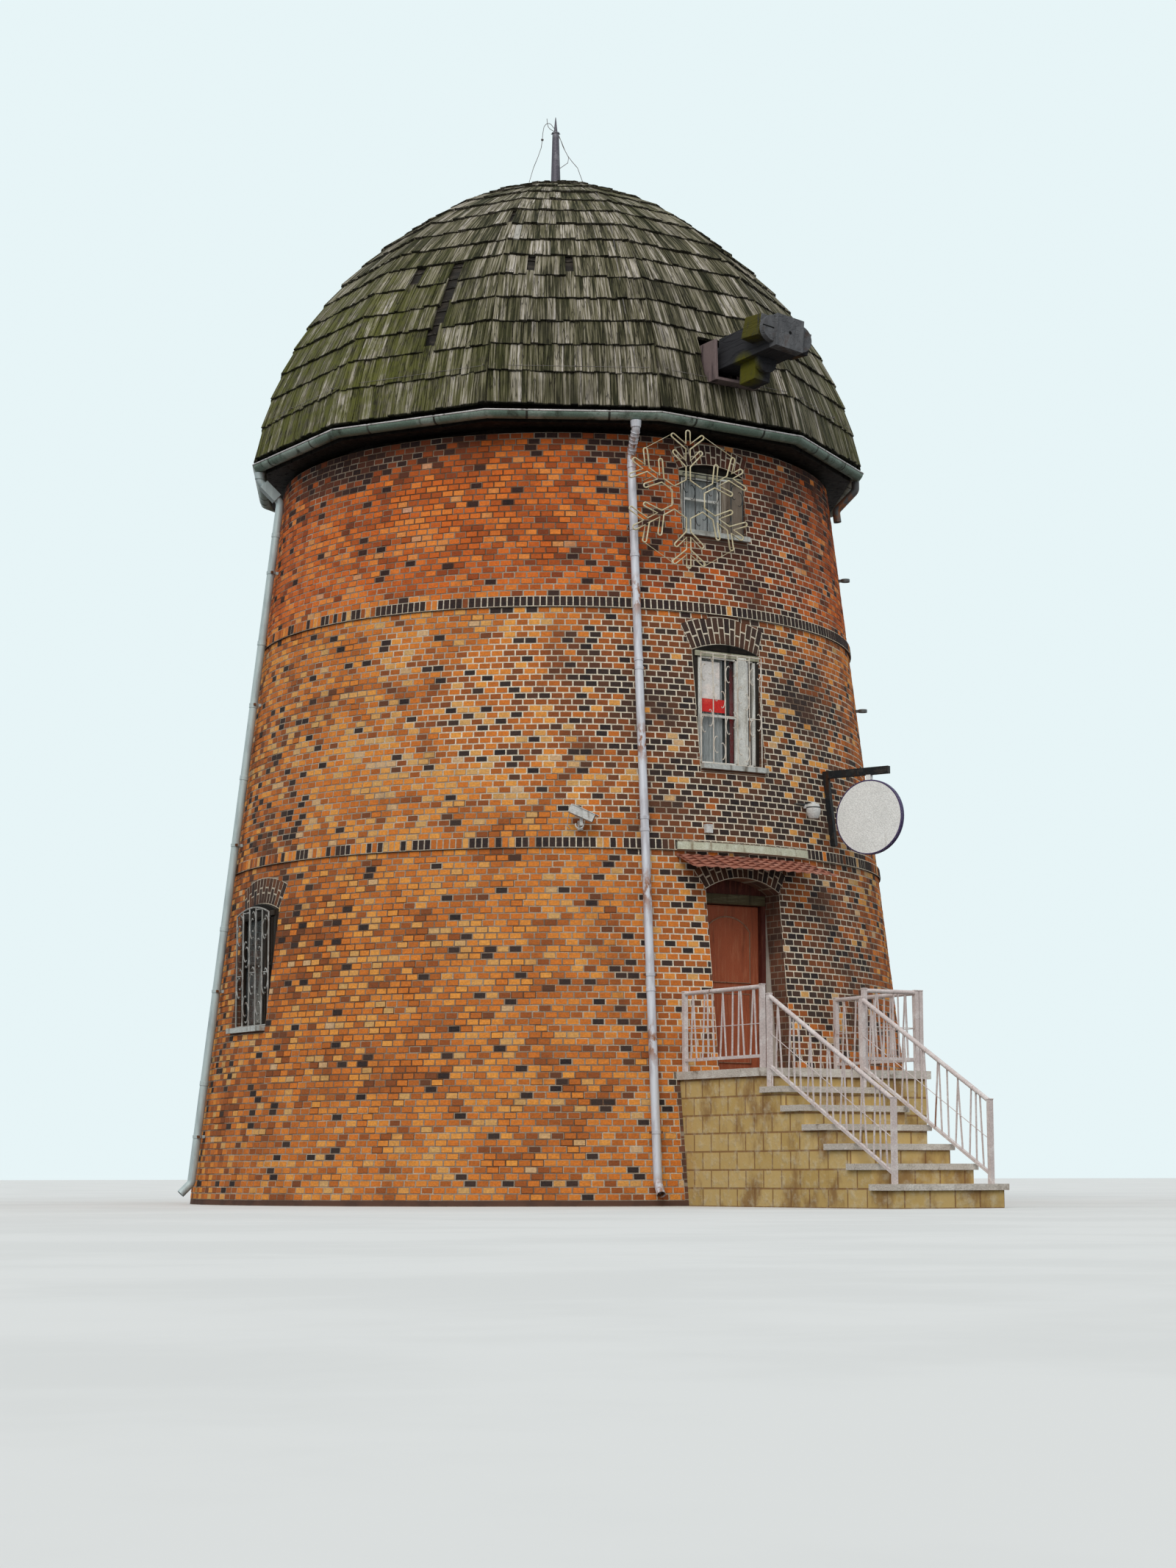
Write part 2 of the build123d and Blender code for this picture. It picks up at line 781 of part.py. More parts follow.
gap_tool = tower_gap_tool(0, entrance_height)
with BuildPart() as entrance_masonry:
    with BuildSketch(Plane.XY):
        with Locations((landing_middle, -(landing_front - slab_overhang) / 2)):
            Rectangle(landing_width - 2 * slab_overhang, landing_front - slab_overhang)
    extrude(amount=masonry_top)
    for number in range(1, riser_count):
        extra = lowest_tread_extra if number == 1 else 0
        with BuildSketch(Plane.XY):
            with Locations((flight_middle + extra / 2, -(landing_front + tread_front(number)) / 2
                            + slab_overhang)):
                Rectangle(flight_width - 2 * slab_overhang + extra,
                          tread_front(number) - landing_front + 2 * slab_overhang)
        extrude(amount=tread_top(number) - tread_thickness)
    add(gap_tool, mode=Mode.SUBTRACT)
save(entrance_masonry.part, "entrance_masonry")

with BuildPart() as landing_slab:
    with BuildSketch(Plane.XY.offset(masonry_top)):
        with Locations((landing_middle, -landing_front / 2)):
            Rectangle(landing_width, landing_front)
    extrude(amount=slab_thickness)
    add(gap_tool, mode=Mode.SUBTRACT)
save(landing_slab.part, "landing_slab")

with BuildPart() as stair_treads:
    for number in range(1, riser_count):
        extra = lowest_tread_extra if number == 1 else 0
        front = tread_front(number) + tread_nosing
        back = tread_front(number + 1)
        if number == riser_count - 1:
            back = landing_front - slab_overhang
        with BuildSketch(Plane.XY.offset(tread_top(number) - tread_thickness)):
            with Locations((flight_middle + extra / 2, -(front + back) / 2)):
                Rectangle(flight_width + extra, front - back)
        extrude(amount=tread_thickness)
save(stair_treads.part, "stair_treads")


# Railings
def rail_panel(plane, length, rise, lowest, posts):
    """Panel of bars between two rails, drawn on an upright plane that starts at a post's foot."""
    slope = rise / length
    top_gap = rail_height - rail_width / 2
    with BuildPart() as panel:
        with BuildSketch(plane):
            for height in (bottom_rail_gap, top_gap):
                with BuildLine():
                    Polyline((0, height - rail_width / 2), (length, height - rail_width / 2 + rise),
                             (length, height + rail_width / 2 + rise), (0, height + rail_width / 2),
                             close=True)
                make_face()
        extrude(amount=rail_width / 2, both=True)
        with BuildSketch(plane):
            for place in posts:
                foot = lowest(place)
                top = rail_height + slope * place
                with Locations((place, (foot + top) / 2)):
                    Rectangle(post_width, top - foot)
        extrude(amount=post_width / 2, both=True)
        with BuildSketch(plane):
            count = int(length / bar_pitch)
            for number in range(1, count):
                low = number * length / count
                high = low + bar_lean * sin(bar_rhythm * number)
                high = min(max(high, bar_width), length - bar_width)
                with BuildLine():
                    Polyline((low - bar_width / 2, bottom_rail_gap + slope * low),
                             (low + bar_width / 2, bottom_rail_gap + slope * low),
                             (high + bar_width / 2, top_gap + slope * high),
                             (high - bar_width / 2, top_gap + slope * high), close=True)
                make_face()
        extrude(amount=bar_width / 2, both=True)
    return panel.part


def level(place):
    return 0


rail_inset = 2 * slab_overhang
rail_front = landing_front - rail_inset


def wall_reach(across):
    """Distance from the axis plane of the door to the wall, at a distance across, by the landing."""
    return sqrt(wall_radius(entrance_height) ** 2 - across ** 2)


with BuildPart() as landing_rails:
    for across in (landing_left + rail_inset, landing_right - rail_inset):
        start = wall_reach(across) + post_width
        plane = Plane(origin=(across, -start, entrance_height), x_dir=(0, -1, 0), z_dir=(-1, 0, 0))
        length = rail_front - start
        add(rail_panel(plane, length, 0, level, (0, length)))
    front_start = flight_right + post_width
    plane = Plane(origin=(front_start, -rail_front, entrance_height), x_dir=(1, 0, 0),
                  z_dir=(0, -1, 0))
    length = landing_right - rail_inset - post_width - post_gap - front_start
    add(rail_panel(plane, length, 0, level, (0, length)))
save(landing_rails.part, "landing_rails")

stair_slope = riser / going
highest_tread = tread_top(riser_count - 1)
with BuildPart() as stair_rails:
    for across in (landing_left + rail_inset, flight_right - rail_inset):
        start = landing_front + post_width
        length = tread_front(1) - start - post_width
        plane = Plane(origin=(across, -start, highest_tread + stair_rail_raise), x_dir=(0, -1, 0),
                      z_dir=(-1, 0, 0))
        feet = {place: tread_top(number) - highest_tread - stair_rail_raise
                for place, number in ((0, riser_count - 1), (length, 1))}
        add(rail_panel(plane, length, -stair_slope * length, feet.get, tuple(feet)))
save(stair_rails.part, "stair_rails")


# Downpipes, which follow the wall's batter
pipe_stand_off = pipe_gap + pipe_radius


def neck_points(azimuth):
    """Path of the swan neck that brings the water from the gutter's outlet back to the wall."""
    outlet_radius = side_distance(gutter_middle, azimuth)
    outlet_height = gutter_height - gutter_radius
    elbow_height = wall_top - swan_neck_drop
    return [
        on_azimuth(azimuth, outlet_radius, outlet_height),
        on_azimuth(azimuth, outlet_radius, outlet_height - outlet_length),
        on_azimuth(azimuth, wall_radius(elbow_height) + pipe_stand_off, elbow_height),
    ]


def pipe_along(points):
    """Round pipe that is open at its lower end."""
    with BuildPart() as pipe:
        with BuildLine() as route:
            FilletPolyline(*points, radius=pipe_bend_radius)
        for length in route.edges().sort_by(Axis.Z, reverse=True):
            with BuildSketch(Plane(origin=length @ 0, z_dir=length % 0)):
                Circle(pipe_radius)
            sweep(path=length)
        with BuildSketch(Plane(origin=points[-1], z_dir=points[-2] - points[-1])):
            Circle(pipe_radius - pipe_wall)
        extrude(amount=pipe_mouth_depth, mode=Mode.SUBTRACT)
    return pipe.part


def pipe_clip(azimuth, height):
    """Band round a pipe, with the stem that holds it to the wall."""
    middle = wall_radius(height) + pipe_stand_off
    with BuildPart() as clip:
        with BuildSketch(Plane.XY.offset(height)):
            with Locations(on_azimuth(azimuth, middle)):
                Circle(pipe_radius + clip_thickness)
        extrude(amount=clip_height / 2, both=True)
        with BuildSketch(radial_plane(azimuth)):
            low, high = height - clip_height / 2, height + clip_height / 2
            with BuildLine():
                Polyline((wall_radius(low), low), (middle, low), (middle, high),
                         (wall_radius(high), high), close=True)
            make_face()
        extrude(amount=clip_stem_width / 2, both=True)
    return clip.part


with BuildPart() as downpipes:
    for azimuth in pipe_azimuths:
        add(pipe_along(neck_points(azimuth) + [
            on_azimuth(azimuth, wall_radius(shoe_height) + pipe_stand_off, shoe_height),
            on_azimuth(azimuth, wall_radius(shoe_height) + pipe_stand_off + shoe_reach,
                       shoe_height - shoe_reach),
        ]))
        for height in clip_heights:
            add(pipe_clip(azimuth, height))
    broken_end = wall_top - broken_pipe_drop
    add(pipe_along(neck_points(broken_pipe_azimuth) + [
        on_azimuth(broken_pipe_azimuth, wall_radius(broken_end) + pipe_stand_off, broken_end),
    ]))
    for height in empty_clip_heights:
        with BuildSketch(Plane.XY.offset(height - clip_height)):
            with Locations(on_azimuth(broken_pipe_azimuth, wall_radius(height) + pipe_stand_off)):
                Circle(pipe_radius)
        bore = extrude(amount=2 * clip_height, mode=Mode.PRIVATE)
        add(pipe_clip(broken_pipe_azimuth, height) - bore)
save(downpipes.part, "downpipes")

# Round sign on a bracket
sign_height = ground_top + sign_lift
sign_distance = wall_radius(sign_height) + sign_gap + sign_radius
with BuildPart() as round_sign:
    plane = radial_plane(sign_azimuth)
    with BuildSketch(plane):
        with Locations((sign_distance, sign_height)):
            Circle(sign_radius)
        with Locations((sign_distance, sign_height + (sign_radius + sign_tab) / 2)):
            Rectangle(sign_tab, sign_radius + sign_tab)
    extrude(amount=sign_thickness / 2, both=True)
save(round_sign.part, "round_sign")

arm_bottom = sign_height + sign_radius + sign_tab
with BuildPart() as sign_bracket:
    with BuildSketch(radial_plane(sign_azimuth)):
        with BuildLine():
            lower = ground_top + channel_lift
            Polyline((wall_radius(lower), lower), (wall_radius(lower) + channel_depth, lower),
                     (wall_radius(arm_bottom) + channel_depth, arm_bottom),
                     (sign_distance + arm_overreach, arm_bottom),
                     (sign_distance + arm_overreach, arm_bottom + arm_height),
                     (wall_radius(arm_bottom + arm_height), arm_bottom + arm_height), close=True)
        make_face()
    extrude(amount=channel_width / 2, both=True)
save(sign_bracket.part, "sign_bracket")

# Lamp, camera and a small box on the wall
def wall_arm(azimuth, height, reach, width, tall):
    """Arm that stands out from the leaning wall."""
    low, high = height - tall / 2, height + tall / 2
    with BuildPart() as arm:
        with BuildSketch(radial_plane(azimuth)):
            with BuildLine():
                Polyline((wall_radius(low), low), (wall_radius(low) + reach, low),
                         (wall_radius(low) + reach, high), (wall_radius(high), high), close=True)
            make_face()
        extrude(amount=width / 2, both=True)
    return arm.part


lamp_height = ground_top + lamp_lift
lamp_distance = wall_radius(lamp_height) + lamp_arm + lamp_radius
with BuildPart() as lamp:
    add(wall_arm(lamp_azimuth, lamp_height, lamp_arm + lamp_radius, lamp_knob_radius, lamp_cap_height))
    with BuildSketch(radial_plane(lamp_azimuth)):
        with BuildLine():
            cap_top = lamp_height + lamp_cap_height / 2
            cap_bottom = lamp_height - lamp_cap_height / 2
            knob_top = cap_top + lamp_knob_height
            jar_bottom = cap_bottom - lamp_jar_height
            Line((lamp_distance, jar_bottom), (lamp_distance, knob_top))
            Polyline((lamp_distance, knob_top), (lamp_distance + lamp_knob_radius, knob_top),
                     (lamp_distance + lamp_knob_radius, cap_top),
                     (lamp_distance + lamp_cap_radius, cap_top),
                     (lamp_distance + lamp_radius, cap_bottom))
            ThreePointArc((lamp_distance + lamp_radius, cap_bottom),
                          (lamp_distance + lamp_radius, cap_bottom - lamp_jar_height / 2),
                          (lamp_distance + lamp_jar_foot_radius, jar_bottom))
            Line((lamp_distance + lamp_jar_foot_radius, jar_bottom), (lamp_distance, jar_bottom))
        make_face()
    revolve(axis=Axis(on_azimuth(lamp_azimuth, lamp_distance), (0, 0, 1)))

camera_height = ground_top + camera_lift
camera_distance = wall_radius(camera_height) + camera_stand_off
with BuildPart() as wall_camera:
    add(wall_arm(camera_azimuth, camera_height, camera_foot_depth, camera_foot_width,
                 camera_foot_height))
    add(wall_arm(camera_azimuth, camera_height, camera_stand_off + camera_body_depth / 2,
                 camera_arm_width, camera_arm_width))
    plane = facing_plane(camera_azimuth, camera_distance)
    body_height = camera_height + camera_stem_height + camera_body_height / 2
    with BuildSketch(plane):
        with Locations((0, (camera_height + body_height) / 2)):
            Rectangle(camera_arm_width, body_height - camera_height + camera_arm_width)
    extrude(amount=camera_body_depth / 2)
    with BuildSketch(plane):
        with Locations(Location((0, body_height), camera_tilt)):
            Rectangle(camera_body_length, camera_body_height)
    extrude(amount=camera_body_depth)
    with BuildSketch(plane.offset(-camera_hood_thickness)):
        with Locations(Location((0, body_height), camera_tilt)):
            with Locations((camera_hood_overhang, camera_body_height / 2)):
                Rectangle(camera_body_length + camera_hood_overhang, camera_hood_thickness)
    extrude(amount=camera_body_depth + 2 * camera_hood_thickness)

with BuildPart() as wall_fittings:
    add(lamp.part)
    add(wall_camera.part)
    add(wall_arm(box_azimuth, ground_top + box_lift, box_depth, box_width, box_height))
save(wall_fittings.part, "wall_fittings")


# Star of rope light: the outline of six arms with side loops round a six-sided heart
def star_outline():
    with BuildSketch() as outline:
        RegularPolygon(star_heart_radius, 6)
        for turn in range(30, 390, 60):
            with Locations(Rotation(0, 0, turn)):
                with Locations((star_radius / 2, 0)):
                    Rectangle(star_radius, star_arm_width)
                for place in star_loop_places:
                    for side in (-1, 1):
                        with Locations(Location((place, 0), side * star_loop_angle)):
                            with Locations((star_loop_length / 2, 0)):
                                Rectangle(star_loop_length, star_loop_width)
        offset(amount=-star_tube, kind=Kind.INTERSECTION, mode=Mode.SUBTRACT)
    return outline.sketch


star_height = middle_top + star_lift
star_distance = wall_radius(star_height) + star_gap
star_plane = facing_plane(star_azimuth, star_distance)
star_plane.origin = star_plane.origin + Vector(0, 0, star_height)
with BuildPart() as star_light:
    with BuildSketch(star_plane):
        add(star_outline())
    extrude(amount=star_tube)
    with BuildSketch(star_plane):
        for turn in star_held_arms:
            with Locations(Rotation(0, 0, turn)):
                with Locations((star_holder_place, (star_arm_width - star_tube) / 2)):
                    Circle(star_holder_radius)
    extrude(amount=-star_distance / 2)
    add(tower_gap_tool(ground_top, wall_top), mode=Mode.SUBTRACT)
save(star_light.part, "star_light")
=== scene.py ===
# %% [markdown]
# # Dressing a brick tower windmill
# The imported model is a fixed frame: walls, dome, gutter, door and railings already have their
# sizes. This script lays the bricks and shingles over it, adds what is too small for the solids,
# and gives every surface a finish that is worked out by nodes.

# %% Load the fixed frame
import math

import bmesh
import bpy
import numpy as np
from mathutils import Euler, Matrix, Vector, noise


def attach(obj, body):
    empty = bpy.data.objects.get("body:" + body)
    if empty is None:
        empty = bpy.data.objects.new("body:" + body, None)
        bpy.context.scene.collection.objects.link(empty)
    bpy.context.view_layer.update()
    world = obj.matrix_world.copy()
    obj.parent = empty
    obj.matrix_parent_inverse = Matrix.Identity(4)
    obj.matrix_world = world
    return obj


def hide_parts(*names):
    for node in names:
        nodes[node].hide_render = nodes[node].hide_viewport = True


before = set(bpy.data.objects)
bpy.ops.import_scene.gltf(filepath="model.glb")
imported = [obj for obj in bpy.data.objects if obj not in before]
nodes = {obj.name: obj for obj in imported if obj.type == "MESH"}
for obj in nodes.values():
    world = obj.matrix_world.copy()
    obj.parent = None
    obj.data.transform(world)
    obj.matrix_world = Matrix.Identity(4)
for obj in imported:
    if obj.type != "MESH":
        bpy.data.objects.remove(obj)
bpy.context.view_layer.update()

scene = bpy.context.scene

# %% [markdown]
# ## The camera
# The picture was taken from the front left, a little above the ground and 37 metres away, with
# the lens turned slightly up. A camera is a frame of three directions, so it is set straight from
# them instead of from angles.

# %% Place the camera
eye = Vector((-19.311, -31.3896, 0.34))
looking = Vector((0.52869, 0.83801, 0.13502)).normalized()
across = looking.cross(Vector((-0.07053, -0.11515, 0.99084))).normalized()
upright = across.cross(looking)
lens = bpy.data.cameras.new("viewpoint")
lens.lens = 66.0
lens.clip_end = 600
camera = bpy.data.objects.new("viewpoint", lens)
camera.matrix_world = Matrix.Translation(eye) @ Matrix((across, upright, -looking)).transposed().to_4x4()
scene.collection.objects.link(camera)
scene.camera = camera
scene.view_settings.view_transform = "Standard"
print("camera to axis:", round(eye.xy.length, 2), "m")

# %% [markdown]
# ## Nodes without long lists
# A material or a Geometry Nodes tree is a graph. Short helpers keep the graphs readable: one adds
# a node with its settings and inputs, one makes a shared group with named sockets, and the others
# stand for the few kinds of node that come back all the time.

# %% Helpers for graphs
def put(tree, kind, inputs=None, **settings):
    """Add a node; an input's value is a constant or the socket that feeds it."""
    made = tree.nodes.new(kind)
    for name, value in settings.items():
        setattr(made, name, value)
    for name, value in (inputs or {}).items():
        if isinstance(value, bpy.types.NodeSocket):
            tree.links.new(value, made.inputs[name])
        else:
            made.inputs[name].default_value = value
    return made


def compute(tree, operation, first, second=0.0, third=0.0):
    """One Math node's result."""
    return put(tree, "ShaderNodeMath", {0: first, 1: second, 2: third}, operation=operation).outputs[0]


def product(tree, *factors):
    """All the factors multiplied together."""
    total = factors[0]
    for factor in factors[1:]:
        total = compute(tree, "MULTIPLY", total, factor)
    return total


def vector_math(tree, operation, first, second):
    """One Vector Math node's vector."""
    return put(tree, "ShaderNodeVectorMath", {0: first, 1: second}, operation=operation).outputs[0]


def axes_of(tree, vector):
    """The X, Y and Z of a vector."""
    return put(tree, "ShaderNodeSeparateXYZ", {0: vector}).outputs


def vector_of(tree, x=0.0, y=0.0, z=0.0):
    """A vector from three numbers or sockets."""
    return put(tree, "ShaderNodeCombineXYZ", {"X": x, "Y": y, "Z": z}).outputs[0]


def fade(tree, value, start, end, first=0.0, last=1.0):
    """Go from the first number to the last while the value goes from start to end."""
    return put(tree, "ShaderNodeMapRange", {"Value": value, "From Min": start, "From Max": end,
        "To Min": first, "To Max": last}).outputs[0]


def attribute(tree, name, output="Fac"):
    """A number, or the vector, that the mesh carries under a name."""
    return put(tree, "ShaderNodeAttribute", attribute_name=name).outputs[output]


def shared_group(name, inputs, outputs, kind="ShaderNodeTree"):
    """A node group with named sockets, as {name: (type, default)}."""
    tree = bpy.data.node_groups.new(name, kind)
    for label, (socket, default) in inputs.items():
        made = tree.interface.new_socket(label, in_out="INPUT", socket_type="NodeSocket" + socket)
        if default is not None:
            made.default_value = default
    for label, socket in outputs.items():
        tree.interface.new_socket(label, in_out="OUTPUT", socket_type="NodeSocket" + socket)
    return tree, put(tree, "NodeGroupInput").outputs, put(tree, "NodeGroupOutput").inputs


def use(tree, group, **inputs):
    """Place a shared group and hand on its outputs."""
    return put(tree, "ShaderNodeGroup", inputs, node_tree=group).outputs


print("helpers:", ", ".join(helper.__name__ for helper in (put, compute, product, fade, use)))

# %% [markdown]
# ## Three shared effects
# Weather does the same things to every surface here: it leaves uneven patches, it runs down in
# streaks, and it opens the grain of wood. Streaks are patches that are stretched upwards, so two
# groups are enough, each built once. They put out masks and heights only, so that each material
# keeps its own colours and its own shader.

# %% Shared group: patches
patches, given, result = shared_group("patches", {"Vector": ("Vector", None),
    "Stretch": ("Vector", (1, 1, 1)), "Scale": ("Float", 4.0), "Detail": ("Float", 5.0),
    "Low": ("Float", 0.4), "High": ("Float", 0.6)}, {"Mask": "Float"})
stretched = vector_math(patches, "MULTIPLY", given["Vector"], given["Stretch"])
cloud = put(patches, "ShaderNodeTexNoise", {"Vector": stretched, "Scale": given["Scale"],
    "Detail": given["Detail"], "Roughness": 0.6})
spread = put(patches, "ShaderNodeMapRange", {"Value": cloud.outputs["Fac"],
    "From Min": given["Low"], "From Max": given["High"]}, interpolation_type="SMOOTHSTEP")
patches.links.new(spread.outputs[0], result["Mask"])


def patch(tree, place, scale, low, high, stretch=(1, 1, 1), detail=5.0):
    """Soft patches: 0 where the noise is under low, 1 where it is over high."""
    return use(tree, patches, Vector=place, Stretch=stretch, Scale=scale, Low=low, High=high,
        Detail=detail)["Mask"]


print("group:", patches.name)

# %% Shared group: grain of boards, along the direction that is stretched least
grain, given, result = shared_group("wood_grain", {"Vector": ("Vector", None),
    "Stretch": ("Vector", (12, 12, 1)), "Scale": ("Float", 6.0)}, {"Fibre": "Float", "Crack": "Float"})
stretched = vector_math(grain, "MULTIPLY", given["Vector"], given["Stretch"])
fibre = put(grain, "ShaderNodeTexNoise", {"Vector": stretched, "Scale": given["Scale"],
    "Detail": 8.0, "Roughness": 0.7, "Distortion": 0.3}).outputs["Fac"]
wide = put(grain, "ShaderNodeTexNoise", {"Vector": stretched, "Scale": compute(grain, "MULTIPLY",
    given["Scale"], 0.35), "Detail": 3.0}).outputs["Fac"]
from_middle = compute(grain, "ABSOLUTE", compute(grain, "SUBTRACT", wide, 0.5))
grain.links.new(fibre, result["Fibre"])
grain.links.new(fade(grain, from_middle, 0.0, 0.025, 1.0, 0.0), result["Crack"])
print("group:", grain.name)

# %% [markdown]
# ## One recipe for weathered finishes
# Paint, sheet metal, stone and old boards differ in colour and gloss, but all have a base colour,
# a second colour where they are worn, and dirt that has run down. The recipe places the shared
# groups with each finish's own values and joins them to that finish's own Principled shader.

# %% Recipe for a weathered finish
finish_names = []


def start_finish(name, roughness=0.8, metallic=0.0):
    """A new material, its tree, its shader and the object coordinates in it."""
    finish_names.append(name)
    finish = bpy.data.materials.new(name)
    finish.use_nodes = True
    tree = finish.node_tree
    shader = tree.nodes["Principled BSDF"]
    shader.inputs["Roughness"].default_value = roughness
    shader.inputs["Metallic"].default_value = metallic
    if roughness >= 0.8:
        shader.inputs["Specular IOR Level"].default_value = 0.15
    place = put(tree, "ShaderNodeTexCoord").outputs["Object"]
    return finish, tree, shader, place


def blend_colours(tree, share, first, second):
    """One colour, and another by a share; each is a constant or a socket."""
    mixed = put(tree, "ShaderNodeMix", {0: share}, data_type="RGBA")
    for socket, value in ((mixed.inputs[6], first), (mixed.inputs[7], second)):
        if isinstance(value, bpy.types.NodeSocket):
            tree.links.new(value, socket)
        else:
            socket.default_value = (*value, 1)
    return mixed.outputs[2]


def stain(tree, colour, over, *shares):
    """Lay a colour over another by the product of the shares."""
    return blend_colours(tree, product(tree, *shares), colour, over)


def colour_ramp(tree, value, stops):
    """Turn a value into a colour by (position, colour) stops."""
    ramp = put(tree, "ShaderNodeValToRGB", {0: value})
    marks = ramp.color_ramp.elements
    marks[0].position, marks[1].position = stops[0][0], stops[-1][0]
    for position, colour in stops[1:-1]:
        marks.new(position)
    for mark, (position, colour) in zip(marks, stops):
        mark.color = (*colour, 1)
    return ramp.outputs[0]


def surface(tree, shader, colour, height, depth):
    """Join a colour and a relief to the shader."""
    tree.links.new(colour, shader.inputs["Base Color"])
    bumped = put(tree, "ShaderNodeBump", {"Height": height, "Distance": depth, "Strength": 1.0})
    tree.links.new(bumped.outputs["Normal"], shader.inputs["Normal"])


def weathered(name, base, worn, dirt, scale=5.0, worn_at=(0.5, 0.62), dirt_at=(0.52, 0.7),
              stretch=(1, 1, 1), streak=(3, 3, 0.35), rough=(0.55, 0.85), metallic=0.0, depth=0.0015):
    """Base colour, worn patches and dirt in streaks, with roughness and relief to match."""
    finish, tree, shader, place = start_finish(name, metallic=metallic)
    wear = patch(tree, place, scale, *worn_at, stretch)
    runs = patch(tree, place, scale * 0.8, *dirt_at, streak)
    grit = patch(tree, place, 60, 0.3, 0.7, stretch, 3.0)
    colour = stain(tree, blend_colours(tree, wear, base, worn), dirt, runs)
    shade = compute(tree, "MULTIPLY_ADD", grit, 0.25, 0.875)
    toned = put(tree, "ShaderNodeVectorMath", {0: colour, 3: shade}, operation="SCALE").outputs[0]
    tree.links.new(fade(tree, runs, 0.0, 1.0, *rough), shader.inputs["Roughness"])
    surface(tree, shader, toned, compute(tree, "ADD", grit, wear), depth)
    return finish


def overlay(finish, mask, colour):
    """Lay one more colour over a finish; mask(tree, axis) gives its share at a place."""
    tree = finish.node_tree
    shader = tree.nodes["Principled BSDF"]
    under = shader.inputs["Base Color"].links[0].from_socket
    axis = axes_of(tree, put(tree, "ShaderNodeTexCoord").outputs["Object"])
    tree.links.new(blend_colours(tree, mask(tree, axis), under, colour), shader.inputs["Base Color"])


def paint(finish, *names):
    """Give a finish to whole CAD nodes, and hand it back."""
    for name in names:
        for holder in nodes[name].material_slots:
            holder.material = finish
    return finish


print("a weathered finish has three patches: wear, runs and grit")

# %% [markdown]
# ## Floor and light
# The tower stands on a plain pale floor under a bright, overcast sky. The sky lights it from all
# round at a level where a colour renders about as it is written; one broad lamp from the front
# left gives the sides their slight difference. The pale background is only a colour that the
# camera and reflections see, never more light: the floor throws up little, which keeps the
# undersides of eaves and canopy dark.

# %% Floor, sky and lamp
bpy.ops.mesh.primitive_circle_add(vertices=64, radius=260, fill_type="NGON")
floor = bpy.context.object
floor.name = "floor"
ground, tree, shader, place = start_finish("floor_screed", 0.92)
cloud = patch(tree, place, 0.4, 0.4, 0.6)
pale = blend_colours(tree, cloud, (0.66, 0.67, 0.66), (0.70, 0.71, 0.70))
camera_ray = put(tree, "ShaderNodeLightPath").outputs["Is Camera Ray"]
tree.links.new(blend_colours(tree, camera_ray, (0.16, 0.16, 0.155), pale), shader.inputs["Base Color"])
floor.data.materials.append(ground)

sky = bpy.data.worlds.new("overcast")
scene.world = sky
sky.use_nodes = True
air = sky.node_tree
daylight = air.nodes["Background"]
daylight.inputs["Color"].default_value = (0.93, 0.97, 1.0, 1)
daylight.inputs["Strength"].default_value = 0.78
seen = put(air, "ShaderNodeBackground", {"Color": (0.80, 0.91, 0.93, 1), "Strength": 1.0})
rays = put(air, "ShaderNodeLightPath").outputs
direct = compute(air, "MAXIMUM", compute(air, "MAXIMUM", rays["Is Camera Ray"], rays["Is Glossy Ray"]),
    rays["Is Transmission Ray"])
choice = put(air, "ShaderNodeMixShader", {0: direct, 1: daylight.outputs[0], 2: seen.outputs[0]})
air.links.new(choice.outputs[0], air.nodes["World Output"].inputs["Surface"])

sun = bpy.data.lights.new("soft_daylight", "SUN")
sun.energy = 1.35
sun.angle = math.radians(35)
sun.color = (1.0, 0.97, 0.92)
sun_holder = bpy.data.objects.new("soft_daylight", sun)
from_direction = Vector((-0.62, -0.62, 0.75))
sun_holder.rotation_euler = from_direction.to_track_quat("Z", "Y").to_euler()
scene.collection.objects.link(sun_holder)
print("lit by sky", round(daylight.inputs["Strength"].default_value, 2), "and lamp", round(sun.energy, 2))

# %% [markdown]
# ## Where things are on the tower
# The wall is a cone that gets 0.1161 m narrower in radius per metre of height. An azimuth is
# counted from the door, which faces -Y, towards +X. A piece for a window or the door is made in
# front of the door's axis and then turned to its own azimuth.

# %% Places on the wall and on the dome
foot_radius = 4.601
batter = 0.1161
lean = math.atan(batter)
wall_top = 9.1
band_projection = 0.027
band_course = 0.128
lower_band = 4.063
upper_band = 6.941


def wall_radius(height):
    """Radius of the wall's face at a height."""
    return foot_radius - batter * height


def turned(azimuth):
    """The turn about the tower's axis that takes the door to an azimuth."""
    return Matrix.Rotation(math.radians(azimuth), 4, "Z")


def on_wall(azimuth, height, out=0.0):
    """A point on the wall's face, or some way out from it."""
    turn = math.radians(azimuth)
    reach = wall_radius(height) + out
    return Vector((reach * math.sin(turn), -reach * math.cos(turn), height))


# each window: azimuth, sill, crown of its arch, height of its ring of arch bricks
windows = [(90, 2.05, 3.60, 0.32), (270, 2.05, 3.60, 0.32), (0, 5.05, 6.58, 0.34), (180, 5.05, 6.58, 0.34),
           (0, 7.905, 8.82, 0.255), (180, 7.905, 8.82, 0.255)]
window_half = 0.465
window_rise = 0.095
door_half = 0.52
door_rise = 0.15
door_sill = 1.5
door_crown = 3.77
door_ring = 0.26
print("wall radius at foot and top:", wall_radius(0), round(wall_radius(wall_top), 3))

# %% [markdown]
# ## Finishes of the brickwork
# The bricks were fired unevenly: most are orange red, many are burnt to a purple black, a few are
# ochre. Each brick carries its own `tone`, from 0 for burnt to 1 for ochre, and a colour ramp
# turns it into a colour, so the mix can differ from place to place on the tower. `lime` says how
# pale the joint round that brick still is.

